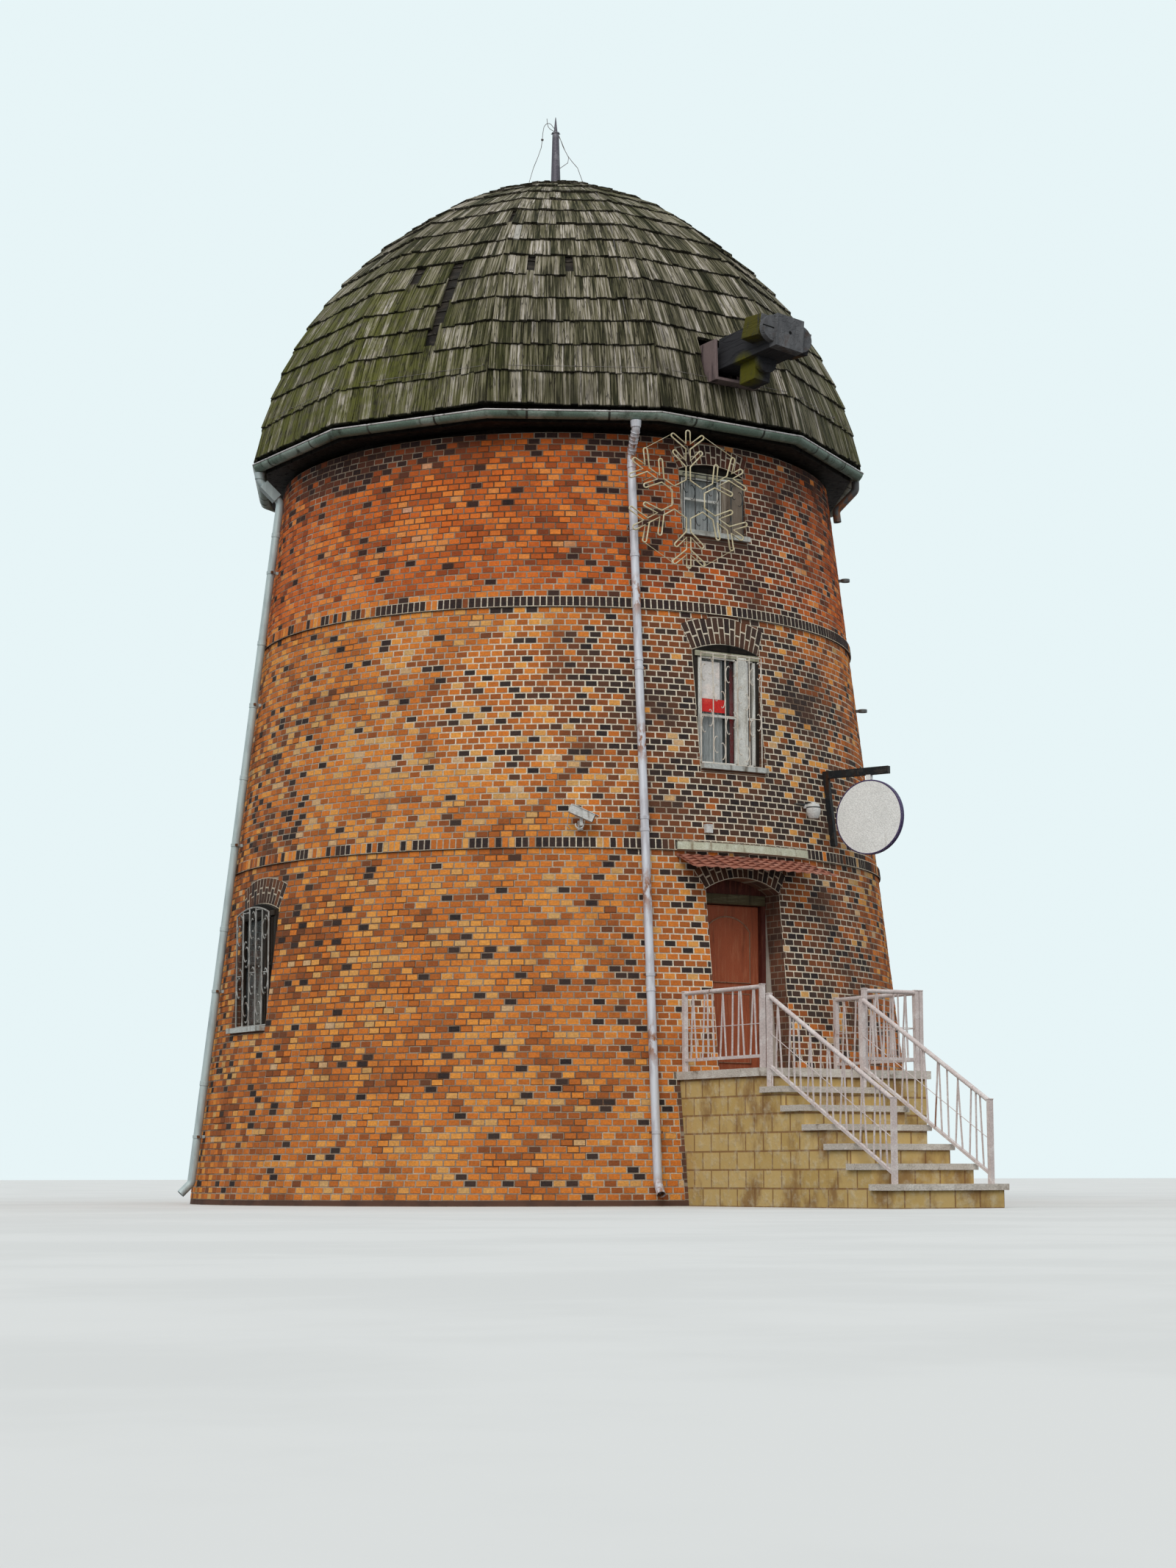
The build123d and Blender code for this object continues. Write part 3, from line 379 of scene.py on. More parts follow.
# %% Brick and mortar
brick, tree, shader, place = start_finish("brick", 0.88)
firing = [(0.0, (0.018, 0.018, 0.020)), (0.14, (0.046, 0.034, 0.029)), (0.30, (0.115, 0.050, 0.028)),
          (0.46, (0.330, 0.092, 0.024)), (0.66, (0.720, 0.208, 0.032)), (0.84, (0.880, 0.360, 0.066)),
          (0.95, (0.700, 0.400, 0.140)), (1.0, (0.700, 0.490, 0.320))]
colour = colour_ramp(tree, attribute(tree, "tone"), firing)
speck = patch(tree, place, 38.0, 0.3, 0.7)
scorch = patch(tree, place, 2.2, 0.52, 0.72, (1, 1, 0.5))
colour = stain(tree, colour, (0.11, 0.05, 0.035), speck, 0.28)
colour = stain(tree, colour, (0.07, 0.035, 0.025), scorch, 0.30)
# the upper storey was laid with redder bricks than the two below it
upper = fade(tree, axes_of(tree, place)["Z"], 6.95, 7.25)
redder = vector_math(tree, "MULTIPLY", colour, (1.02, 0.76, 0.72))
surface(tree, shader, blend_colours(tree, upper, colour, redder), speck, 0.003)

mortar, tree, shader, place = start_finish("mortar", 0.95)
crumbs = patch(tree, place, 30.0, 0.35, 0.65)
colour = blend_colours(tree, attribute(tree, "lime"), (0.125, 0.056, 0.028), (0.86, 0.77, 0.61))
surface(tree, shader, stain(tree, colour, (0.16, 0.10, 0.07), crumbs, 0.25), crumbs, 0.004)
print("finishes:", brick.name, mortar.name)

# %% [markdown]
# ## Finish of the bare wall
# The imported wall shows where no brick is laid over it: in the joints, in the window reveals and
# inside. Outside and in the reveals a Brick Texture runs round the openings at the real course
# height; further in than the reveals the wall is rough limewash.

# %% Wall behind the laid bricks
header = 0.143
course = 0.075
bare_wall, tree, shader, place = start_finish("bare_wall", 0.92)
axis = axes_of(tree, place)
reach = compute(tree, "SQRT", compute(tree, "ADD", product(tree, axis["X"], axis["X"]),
    product(tree, axis["Y"], axis["Y"])))
face_reach = compute(tree, "MULTIPLY_ADD", axis["Z"], -batter, foot_radius)
within = fade(tree, compute(tree, "SUBTRACT", face_reach, reach), 0.28, 0.30)
coursed = put(tree, "ShaderNodeTexBrick", {"Vector": vector_of(tree, reach, axis["Z"]),
    "Color1": (0.10, 0.055, 0.04, 1), "Color2": (0.22, 0.09, 0.05, 1), "Mortar": (0.30, 0.24, 0.18, 1),
    "Scale": 1.0, "Mortar Size": 0.006, "Brick Width": header, "Row Height": course}).outputs
smudge = patch(tree, place, 3.0, 0.4, 0.7)
limewash = blend_colours(tree, smudge, (0.55, 0.52, 0.46), (0.38, 0.34, 0.29))
bricked = stain(tree, coursed["Color"], (0.05, 0.035, 0.03), smudge, 0.6)
colour = blend_colours(tree, within, bricked, limewash)
surface(tree, shader, colour, compute(tree, "SUBTRACT", smudge, coursed["Fac"]), 0.004)
wall_nodes = [name for name in nodes if "_wall" in name]
paint(bare_wall, *wall_nodes)
print("bare wall on", wall_nodes)

# %% [markdown]
# ## Laying bricks with Geometry Nodes
# Nearly twenty thousand headers are too many to place as objects. Python only marks where each
# brick's centre is, as a point with a turn, a size, a tone and a lime value; a Geometry Nodes tree
# puts an open-backed block with worn arrises on each point, and a plate of mortar behind it. A
# block has five faces, so the whole tower stays light.

# %% Helpers for laying trees
def step(tree, kind, inputs=None, **settings):
    """Add a geometry node and hand on what it makes."""
    return put(tree, "GeometryNode" + kind, inputs, **settings).outputs[0]


def laying_tree(name, inputs):
    """A tree that starts with points and reads their `turn` and `size`."""
    tree, given, result = shared_group(name, {"Points": ("Geometry", None), **inputs}, {"Mesh": "Geometry"},
        kind="GeometryNodeTree")
    turn = step(tree, "InputNamedAttribute", {"Name": "turn"}, data_type="FLOAT_VECTOR")
    turn = put(tree, "FunctionNodeEulerToRotation", {0: turn}).outputs[0]
    size = step(tree, "InputNamedAttribute", {"Name": "size"}, data_type="FLOAT_VECTOR")
    return tree, given, result, turn, size


def laid_on(tree, points, shape, turn, scale, material):
    """Put a shape on every point, as a real mesh with its material."""
    laid = step(tree, "InstanceOnPoints", {"Points": points, "Instance": shape, "Rotation": turn,
        "Scale": scale})
    laid = step(tree, "RealizeInstances", {0: laid})
    return step(tree, "SetMaterial", {"Geometry": laid, "Material": material})


def uneven(tree, kind, given, low, high):
    """A random number or vector for every point, from the tree's own seed."""
    # a Random Value node has a lowest, a highest and a result socket for each kind of value
    lowest, highest, value = {"FLOAT": (2, 3, 1), "FLOAT_VECTOR": (0, 1, 0)}[kind]
    return put(tree, "FunctionNodeRandomValue", {lowest: low, highest: high, "Seed": given["Seed"]},
        data_type=kind).outputs[value]


print("helpers:", step.__name__, laying_tree.__name__, laid_on.__name__, uneven.__name__)

# %% The bricklayer's tree
bricklayer, given, result, turn, size = laying_tree("bricklayer", {"Joint": ("Float", 0.013),
    "Stand Out": ("Float", 0.005), "Arris": ("Float", 0.05), "Unevenness": ("Float", 0.4), "Seed": ("Int", 3),
    "Brick": ("Material", None), "Mortar": ("Material", None)})
block = step(bricklayer, "MeshCube", {"Size": (1, 1, 1)})
where = step(bricklayer, "InputPosition")
in_front = compute(bricklayer, "LESS_THAN", axes_of(bricklayer, where)["Y"], 0.0)
at_back = compute(bricklayer, "GREATER_THAN", axes_of(bricklayer, step(bricklayer, "InputNormal"))["Y"], 0.5)
block = step(bricklayer, "DeleteGeometry", {"Geometry": block, "Selection": at_back}, domain="FACE")
kept = compute(bricklayer, "SUBTRACT", 1.0, given["Arris"])
narrowed = vector_math(bricklayer, "MULTIPLY", where, vector_of(bricklayer, kept, 1.0, kept))
block = step(bricklayer, "SetPosition", {"Geometry": block, "Selection": in_front, "Position": narrowed})
varied = uneven(bricklayer, "FLOAT", given, compute(bricklayer, "SUBTRACT", 1.0, given["Unevenness"]),
    compute(bricklayer, "ADD", 1.0, given["Unevenness"]))
joint = vector_of(bricklayer, given["Joint"], 0.0, given["Joint"])
out = vector_of(bricklayer, 0.0, product(bricklayer, given["Stand Out"], 2.0, varied))
brick_size = vector_math(bricklayer, "ADD", vector_math(bricklayer, "SUBTRACT", size, joint), out)
laid = laid_on(bricklayer, given["Points"], block, turn, brick_size, given["Brick"])
plate = step(bricklayer, "MeshGrid", {"Size X": 1.0, "Size Y": 1.0, "Vertices X": 2, "Vertices Y": 2})
plate = step(bricklayer, "Transform", {"Geometry": plate, "Translation": (0, -0.0012, 0),
    "Rotation": (math.radians(90), 0, 0)})
bed = laid_on(bricklayer, given["Points"], plate, turn, vector_math(bricklayer, "ADD", size, (0, 1, 0)),
    given["Mortar"])
both = put(bricklayer, "GeometryNodeJoinGeometry")
bricklayer.links.new(bed, both.inputs[0])
bricklayer.links.new(laid, both.inputs[0])
bricklayer.links.new(both.outputs[0], result["Mesh"])
print("tree:", bricklayer.name, "with", len(bricklayer.nodes), "nodes")

# %% Points into a finished piece
def lay(name, marks, tree, values, body="building"):
    """marks are dicts with place, turn, size and any further numbers; the result is a plain mesh."""
    points = bpy.data.meshes.new(name + "_points")
    points.from_pydata([mark["place"] for mark in marks], [], [])
    for key in [key for key in marks[0] if key != "place"]:
        if isinstance(marks[0][key], (int, float)):
            layer = points.attributes.new(key, "FLOAT", "POINT")
            layer.data.foreach_set("value", [float(mark[key]) for mark in marks])
        else:
            layer = points.attributes.new(key, "FLOAT_VECTOR", "POINT")
            layer.data.foreach_set("vector", [c for mark in marks for c in mark[key]])
    holder = bpy.data.objects.new(name + "_points", points)
    scene.collection.objects.link(holder)
    modifier = holder.modifiers.new("lay", "NODES")
    modifier.node_group = tree
    for item in tree.interface.items_tree:
        if item.in_out == "INPUT" and item.name in values:
            modifier[item.identifier] = values[item.name]
    bpy.context.view_layer.update()
    mesh = bpy.data.meshes.new_from_object(holder.evaluated_get(bpy.context.evaluated_depsgraph_get()))
    bpy.data.objects.remove(holder)
    piece = bpy.data.objects.new(name, mesh)
    scene.collection.objects.link(piece)
    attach(piece, body)
    print(name, len(marks), "points,", sum(len(p.vertices) - 2 for p in mesh.polygons), "triangles")
    return piece

# %% [markdown]
# ## Which bricks lie where
# The mix changes round the tower: orange and ochre on the sunny left, sooty and burnt round the
# windows and the door. Under the eaves the bricks are darker as painted shade. A few soft patches,
# each with a centre, a spread and a strength, add up to the chance of a burnt brick, of an ochre
# one, and of a joint that is still pale. The far side repeats them, as far as it can be known.

# %% Patches of soot, ochre and pale joints
draw = np.random.default_rng(17)
# azimuth, height, spread in azimuth, spread in height, strength
soot = [(6, 8.0, 19, 1.1, 0.85), (34, 8.6, 22, 0.6, 0.40), (-14, 6.0, 20, 0.9, 0.95),
        (16, 5.7, 16, 1.4, 0.85), (-2, 4.7, 17, 0.5, 1.10), (12, 4.75, 14, 0.35, 0.5),
        (-78, 8.9, 20, 0.45, 0.8), (-90, 3.6, 12, 2.2, 0.5), (38, 5.0, 16, 1.4, 0.35),
        (12, 2.8, 24, 1.6, 0.9), (-48, 5.6, 16, 0.7, 0.14), (186, 8.0, 19, 1.1, 0.7),
        (166, 6.0, 22, 0.9, 0.5), (192, 5.6, 18, 1.4, 0.7), (150, 2.6, 24, 1.8, 0.3)]
ochre = [(-88, 2.6, 34, 1.5, 0.17), (-72, 5.4, 30, 1.3, 0.22), (12, 5.2, 12, 0.7, 0.22),
         (-32, 4.8, 14, 0.8, 0.16), (90, 2.6, 34, 1.5, 0.20), (120, 5.4, 30, 1.2, 0.14),
         (34, 4.0, 10, 0.8, 0.25)]
pale_joints = [(-10, 5.8, 28, 1.2, 1.0), (-44, 5.9, 20, 0.8, 0.6), (9, 7.7, 13, 0.8, 1.1),
               (30, 7.4, 16, 0.6, 0.4), (4, 4.8, 24, 0.6, 1.0), (10, 2.6, 26, 2.0, 0.9),
               (36, 5.6, 18, 1.2, 0.6), (-48, 8.4, 36, 1.0, -0.30), (-64, 2.4, 44, 1.6, -0.20),
               (176, 5.8, 30, 1.2, 0.9), (189, 7.7, 13, 0.8, 1.0)]


def strength_at(soft_patches, azimuth, height):
    """Sum of the soft patches at a place."""
    total = 0.0
    for centre, level, wide, tall, strength in soft_patches:
        away = (azimuth - centre + 180) % 360 - 180
        total += strength * math.exp(-(away / wide) ** 2 - ((height - level) / tall) ** 2)
    return total


def brick_mark(azimuth, height, width, tall, out=0.0, roll=0.0):
    """A brick's centre on the wall with its turn, size and firing, darker under the eaves as painted shade.
    """
    here = on_wall(azimuth, height, out)
    cloud = 0.5 + 0.9 * noise.noise(here * 1.1) + 0.5 * noise.noise(here * 3.1)
    # bricks in a band under the eaves are darker and more often burnt: painted shade under the gutter
    eaves_shade = math.exp(-((height - 9.2) / 0.35) ** 2)
    sooty = strength_at(soot, azimuth, height)
    burnt_and_shaded = 0.04 + 0.28 * sooty * (0.35 + cloud) + 0.40 * eaves_shade
    tone = draw.normal(0.64 + 0.12 * (cloud - 0.5) - 0.38 * min(sooty, 1.0) - 0.22 * eaves_shade, 0.11)
    chance = draw.random()
    if chance < burnt_and_shaded:
        tone = draw.uniform(0.0, 0.16)
    elif chance > 1 - 0.03 - strength_at(ochre, azimuth, height):
        tone = draw.uniform(0.84, 0.98)
    limy = strength_at(pale_joints, azimuth, height) + 0.30
    lime = limy * np.clip(1.8 * cloud + 0.25, 0.25, 1.3) + draw.normal(0, 0.12)
    tipped = Matrix.Rotation(roll + math.radians(draw.normal(0, 0.5)), 4, "Y")
    turn = turned(azimuth) @ Matrix.Rotation(-lean, 4, "X") @ tipped
    return {"place": here, "turn": tuple(turn.to_euler()), "size": (width, 0.0, tall),
            "tone": float(np.clip(tone, 0, 1)), "lime": float(np.clip(lime, 0, 1))}


print("soft patches:", len(soot), "of soot,", len(ochre), "of ochre,", len(pale_joints), "of pale joints")

# %% [markdown]
# ## Courses, cut at the openings
# The wall is laid in header bond: only the short ends show, and each course is moved on by half a
# brick. The number of headers follows the girth, which shrinks with height, so the upright joints
# drift as they do on the real tower. A course stops at a window, or at the fan of its arch.

# %% Courses
first_course = 0.064
seam = math.radians(45)
landing_sides = (1.05, 1.30)
smallest_cut = 0.035


def arch_of(half, rise, crown):
    """Radius of a flat arch, the height of its centre and half its angle."""
    radius = (half * half + rise * rise) / (2 * rise)
    return radius, crown - radius, math.asin(half / radius)


def opening_half(height, sill, crown, half, rise, ring):
    """Half the width that an opening and its fan take up at a height."""
    radius, centre, spread = arch_of(half, rise, crown)
    if not sill <= height <= crown + ring:
        return 0.0
    if height <= crown - rise:
        return half
    above = height - centre
    return min(above * math.tan(spread), math.sqrt(max((radius + ring) ** 2 - above * above, 0.0)))


def taken_stretches(height):
    """Stretches of a course that belong to openings and to the landing, in radians from the door."""
    radius = wall_radius(height)
    shapes = [(azimuth, opening_half(height, sill - 0.06, crown, window_half, window_rise, ring))
              for azimuth, sill, crown, ring in windows]
    shapes.append((0, opening_half(height, door_sill, door_crown, door_half, door_rise, door_ring)))
    stretches = []
    for azimuth, half in shapes:
        if half > 0:
            middle = (math.radians(azimuth) - seam) % math.tau + seam
            stretches.append((middle - math.asin(half / radius), middle + math.asin(half / radius)))
    if height < door_sill:
        left, right = landing_sides
        stretches.append((math.tau - math.asin(left / radius), math.tau + math.asin(right / radius)))
    return stretches


def course_marks(bottom, top):
    """All the bricks of the courses between two heights."""
    marks = []
    rows = round((top - bottom) / course)
    tall = (top - bottom) / rows
    for row in range(rows):
        height = bottom + (row + 0.5) * tall
        radius = wall_radius(height)
        count = round(math.tau * radius / header)
        stretches = taken_stretches(height)
        for k in range(count):
            start, end = (seam + (k + i + 0.5 * (row % 2)) * math.tau / count for i in (0, 1))
            for low, high in stretches:
                if start < high and end > low:
                    start, end = (start, low) if start < low else (high, end)
            width = (end - start) * radius
            if width > smallest_cut:
                marks.append(brick_mark(math.degrees((start + end) / 2), height, width, tall))
    return marks


laying = {"Brick": brick, "Mortar": mortar}
storeys = (("bricks_ground", first_course, lower_band),
           ("bricks_middle", lower_band + band_course, upper_band),
           ("bricks_upper", upper_band + band_course, wall_top))
for name, bottom, top in storeys:
    lay(name, course_marks(bottom, top), bricklayer, laying)

# %% [markdown]
# ## Bands and arches
# Two bands of bricks set on edge run round the tower, and each opening is spanned by a fan of
# bricks whose joints point to the arch's centre. They use the same tree; only the marks differ:
# narrow pitch and an outward step for the bands, a roll of each brick for the fans.

# %% Band courses and arch bricks
edge_pitch = 0.077
band_marks = []
for bottom in (lower_band, upper_band):
    height = bottom + band_course / 2
    girth = math.tau * wall_radius(height)
    count = round(girth / edge_pitch)
    for k in range(count):
        azimuth = k * 360 / count
        mark = brick_mark(azimuth, height, girth / count, band_course, band_projection + 0.002)
        dark = 0.95 if bottom == upper_band else 0.7
        dark *= 0.25 + 0.75 * math.exp(-(((azimuth + 180) % 360 - 180) / 78) ** 4)
        if draw.random() < dark:
            mark["tone"] = draw.uniform(0.0, 0.12)
        mark["lime"] = min(1.0, mark["lime"] + 0.25)
        band_marks.append(mark)
lay("bricks_bands", band_marks, bricklayer, laying)

arch_marks = []
openings = [(azimuth, crown, window_half, window_rise, ring) for azimuth, sill, crown, ring in windows]
for azimuth, crown, half, rise, ring in openings + [(0, door_crown, door_half, door_rise, door_ring)]:
    radius, centre, spread = arch_of(half, rise, crown)
    count = round((radius + ring / 2) * 2 * spread / edge_pitch)
    for k in range(count):
        angle = -spread + (k + 0.5) * 2 * spread / count
        cuts = (0, 0.42, 1) if k % 2 else (0, 0.62, 1)
        for low, high in zip(cuts, cuts[1:]):
            middle = radius + (low + high) / 2 * ring
            height = centre + middle * math.cos(angle)
            aside = math.degrees(math.asin(middle * math.sin(angle) / wall_radius(height)))
            width = middle * 2 * spread / count
            mark = brick_mark(azimuth + aside, height, width, (high - low) * ring, 0.001, angle)
            mark["tone"] = float(np.clip(mark["tone"] * 0.5, 0, 0.32))
            mark["lime"] = max(mark["lime"], 0.7)
            arch_marks.append(mark)
lay("bricks_arches", arch_marks, bricklayer, laying)

# %% [markdown]
# ## The slope of the dome
# Each of the twelve sides bends upwards along two arcs that meet smoothly. Anything on the dome
# is placed by its distance up the slope from the eaves, so one function turns that distance into
# a distance from the axis, a height and the direction in which the roof faces.

# %% Points on the dome
cap_turn = 1.5
half_side = math.radians(15)
eaves_height = 9.37
lower_arc = (-1.0656, -0.8109, 4.962, math.radians(9.405), math.radians(46.03))
upper_arc = (-0.8332, -0.5700, 4.627, math.radians(46.03), math.radians(78.24))
lower_length = lower_arc[2] * (lower_arc[4] - lower_arc[3])


def dome_slope(distance):
    """Distance of a side from the axis, its height and how far its face is tilted up."""
    aside, level, radius, start, end = lower_arc if distance <= lower_length else upper_arc
    along = distance if distance <= lower_length else distance - lower_length
    tilt = start + along / radius
    return aside + radius * math.cos(tilt), eaves_height + level + radius * math.sin(tilt), tilt


def dome_frame(side, share, distance, out=0.0):
    """Frame on one side of the dome: x along the side, y up the slope, z outwards."""
    apothem, height, tilt = dome_slope(distance)
    fan = -share * math.tan(half_side) * math.sin(tilt)
    facing = Vector((0, -math.cos(tilt), math.sin(tilt)))
    slope = (Vector((0, math.sin(tilt), math.cos(tilt))) + Vector((fan, 0, 0))).normalized()
    level = slope.cross(facing).normalized()
    spot = Vector((share * apothem * math.tan(half_side), -apothem, height)) + out * facing
    frame_here = Matrix((level, slope, facing)).transposed().to_4x4()
    return turned(cap_turn + side * 30) @ Matrix.Translation(spot) @ frame_here


print("slope length:", round(lower_length + upper_arc[2] * (upper_arc[4] - upper_arc[3]), 3), "m")

# %% [markdown]
# ## Finish of the shingles
# Old split boards turn silver where the sun bleaches them, nearly black where water stays, and
# green where moss holds on. The grain runs along each board whatever way the board points, so the
# pattern reads the board's own coordinates, which the tree stores, and not the place in space.

# %% Shingle finish
shingle, tree, shader, place = start_finish("shingle", 0.9)
own = attribute(tree, "board", "Vector")
size = attribute(tree, "size", "Vector")
tone = attribute(tree, "tone")
apart = vector_of(tree, product(tree, tone, 71.0), product(tree, tone, 13.0))
shifted = vector_math(tree, "ADD", vector_math(tree, "MULTIPLY", own, size), apart)
fibres = use(tree, grain, Vector=shifted, Stretch=(14, 1, 14), Scale=4.0)
streaks = patch(tree, shifted, 1.0, 0.34, 0.66, (44, 1.6, 44), 3.0)
silver = compute(tree, "ADD", product(tree, streaks, 0.46), product(tree, fibres["Fibre"], 0.30))
silver = compute(tree, "ADD", silver, product(tree, tone, 0.46))
bleaching = [(0.0, (0.026, 0.026, 0.012)), (0.36, (0.128, 0.116, 0.068)), (0.70, (0.340, 0.305, 0.240)),
             (1.0, (0.62, 0.57, 0.53))]
colour = colour_ramp(tree, fade(tree, silver, 0.34, 1.10), bleaching)
damp = patch(tree, place, 1.6, 0.45, 0.7)
tuft = patch(tree, place, 7.0, 0.3, 0.62)
# cracks in the grain, and the butt end of every board painted dark as the shadow line under each course
cracks_and_butt_shade = compute(tree, "MAXIMUM", fibres["Crack"], compute(tree, "LESS_THAN", axes_of(tree, own)["Y"], 0.02))
colour = stain(tree, colour, (0.035, 0.031, 0.022), damp, 0.45)
colour = stain(tree, colour, (0.110, 0.115, 0.022), tuft, attribute(tree, "moss"), 0.8)
colour = stain(tree, colour, (0.012, 0.010, 0.008), cracks_and_butt_shade, 0.75)
colour = stain(tree, colour, (0.46, 0.44, 0.40), attribute(tree, "fresh"), 0.85)
surface(tree, shader, colour, compute(tree, "SUBTRACT", fibres["Fibre"], fibres["Crack"]), 0.006)

# the boards under the shingles are painted nearly black: painted shade in the holes where shingles have
# slipped off
paint(weathered("roof_boards_under", (0.020, 0.016, 0.013), (0.045, 0.036, 0.028), (0.008, 0.007, 0.006),
    stretch=(1, 1, 8), scale=2.0), *[name for name in nodes if name.startswith("roof_")])
print("finishes:", shingle.name, "roof_boards_under")

# %% [markdown]
# ## Shingling with Geometry Nodes
# A shingle is a thin wedge: thick at the butt, where its shadow shows, and thin at the top. The
# tree makes one wedge, stores its own coordinates on it, and puts it on every point. Python marks
# the points in sixteen rough courses, with boards of uneven width whose sides fan in with the
# hips, and leaves out the boards that have slipped off.

# %% The roofer's tree
roofer, given, result, turn, size = laying_tree("roofer", {"Narrowing": ("Float", 0.03),
    "Top Thickness": ("Float", 0.3), "Unevenness": ("Float", 0.022), "Seed": ("Int", 5),
    "Shingle": ("Material", None)})
wedge = step(roofer, "MeshCube", {"Size": (1, 1, 1)})
wedge = step(roofer, "Transform", {"Geometry": wedge, "Translation": (0, 0.5, 0.5)})
where = step(roofer, "InputPosition")
wedge = step(roofer, "StoreNamedAttribute", {"Geometry": wedge, "Name": "board", "Value": where},
    data_type="FLOAT_VECTOR", domain="POINT")
underside = compute(roofer, "LESS_THAN", axes_of(roofer, step(roofer, "InputNormal"))["Z"], -0.5)
wedge = step(roofer, "DeleteGeometry", {"Geometry": wedge, "Selection": underside}, domain="FACE")
at_top = compute(roofer, "GREATER_THAN", axes_of(roofer, where)["Y"], 0.5)
kept = compute(roofer, "SUBTRACT", 1.0, given["Narrowing"])
thinned = vector_math(roofer, "MULTIPLY", where, vector_of(roofer, kept, 1.0, given["Top Thickness"]))
wedge = step(roofer, "SetPosition", {"Geometry": wedge, "Selection": at_top, "Position": thinned})
varied = uneven(roofer, "FLOAT_VECTOR", given, (0.98, 1.0, 0.75), (1.0, 1.0, 1.25))
slip = vector_of(roofer, 0.0, product(roofer, uneven(roofer, "FLOAT", given, -0.5, 0.5), given["Unevenness"]))
slip = put(roofer, "FunctionNodeRotateVector", {0: slip, 1: turn}).outputs[0]
settled = step(roofer, "SetPosition", {"Geometry": given["Points"], "Offset": slip})
board_size = vector_math(roofer, "MULTIPLY", size, varied)
roofer.links.new(laid_on(roofer, settled, wedge, turn, board_size, given["Shingle"]), result["Mesh"])
print("tree:", roofer.name, "with", len(roofer.nodes), "nodes")

# %% Courses of shingles
butts = [-0.03, 0.40, 0.78, 1.12, 1.48, 1.86, 2.24, 2.58, 2.95, 3.34, 3.72, 4.08, 4.44, 4.80, 5.14, 5.46]
board_width = 0.082
lap = 0.10
slipped_off = [(-65.1, 11.28), (-55.7, 11.28), (-55.1, 10.94), (-56.2, 10.66), (-56.1, 10.36), (-37.7, 11.29),
               (-28.3, 11.25), (-43.6, 12.17)]
new_board = (-41.9, 11.90)
mossy = [(-106, 9.5, 36, 1.2, 1.5), (-80, 10.6, 26, 0.9, 0.8), (52, 9.6, 20, 1.6, 0.55),
         (20, 12.8, 50, 0.6, 0.35), (-60, 9.5, 20, 0.5, 0.4), (150, 9.6, 60, 1.2, 0.5),
         (-150, 10.0, 40, 1.4, 0.6)]
# the windshaft's boards stand in the front side: where, half their width, and the slope they take up
box_aside, box_half, box_foot, box_top = 0.15, 0.315, 0.46, 1.02
dome_end = 5.72
shingle_marks = []
for side in range(12):
    for row, butt_place in enumerate(butts):
        half_width = dome_slope(butt_place)[0] * math.tan(half_side)
        count = max(2, round(2 * half_width / board_width))
        inner_cuts = np.sort(np.arange(1, count) + draw.uniform(-0.28, 0.28, count - 1))
        cuts = np.concatenate([[0.0], inner_cuts, [count]]) / count * 2 - 1
        wave = 0.02 * math.sin(side * 2.1 + row * 1.3)
        for low, high in zip(cuts, cuts[1:]):
            share = (low + high) / 2
            wide = (high - low) * half_width
            length = (butts + [dome_end])[row + 1] - butt_place + (lap if row < len(butts) - 1 else 0.0)
            spot = dome_frame(side, share, butt_place + wave * share, 0.012)
            beside = abs(spot.translation.x - box_aside) < box_half + wide / 2
            if side == 0 and beside and butt_place < box_top and butt_place + length > box_foot:
                if butt_place >= box_foot:
                    length -= box_top - butt_place
                    spot = dome_frame(side, share, box_top + 0.01 * draw.random(), 0.012)
                else:
                    length = box_foot - butt_place
                if length < 0.05:
                    continue
            askew = Matrix.Rotation(draw.normal(0, 0.012), 3, "Z")
            turn = spot.to_3x3() @ Matrix.Rotation(-0.02 / length, 3, "X") @ askew
            here = spot.translation
            azimuth = math.degrees(math.atan2(here.x, -here.y))
            shingle_marks.append({"place": here, "turn": tuple(turn.to_euler()), "fresh": 0.0,
                "size": (wide * 0.975, length, 0.042), "tone": float(draw.random()),
                "moss": min(1.0, strength_at(mossy, azimuth, here.z))})


def nearest_board(azimuth, height):
    """The shingle whose middle is nearest to a place on the dome."""
    def away(k):
        spot = shingle_marks[k]["place"]
        return abs(math.atan2(spot.x, -spot.y) - math.radians(azimuth)) * 3 + abs(spot.z + 0.13 - height)
    return min(range(len(shingle_marks)), key=away)


gone = {nearest_board(*place) for place in slipped_off}
gone |= {nearest_board(*place) + 1 for place in slipped_off[:5]}
holes = [shingle_marks[k] for k in gone]
shingle_marks[nearest_board(*new_board)]["fresh"] = 1.0
left_on = [mark for k, mark in enumerate(shingle_marks) if k not in gone]
lay("shingles", left_on, roofer, {"Shingle": shingle})

# %% [markdown]
# ## Finishes of the fixed solids
# The timbers, pipes, stone and paint of the imported nodes keep their shapes and get their own
# colours from the recipe. Colours are linear values, judged on the dry parts of each
# surface.

# %% Timber, stone and paint
# nearly black: painted shade under the gutter, used also for the shaft's bearing
paint(weathered("eaves_timber_painted_shade", (0.016, 0.012, 0.009), (0.034, 0.025, 0.018), (0.007, 0.006, 0.005),
    stretch=(2, 2, 8), depth=0.003), "cap_ring", "wall_plate", "shaft_bearing")
paint(weathered("floor_planks", (0.22, 0.14, 0.08), (0.30, 0.21, 0.13), (0.10, 0.065, 0.04),
    stretch=(1, 9, 9)), "storey_floors")
paint(weathered("floor_concrete", (0.33, 0.32, 0.30), (0.42, 0.41, 0.38), (0.20, 0.19, 0.18)), "base_slab")
paint(weathered("tread_stone", (0.56, 0.51, 0.45), (0.66, 0.62, 0.56), (0.24, 0.19, 0.14), scale=3.0,
    streak=(2, 2, 2), dirt_at=(0.54, 0.72), depth=0.003), "landing_slab", "stair_treads")
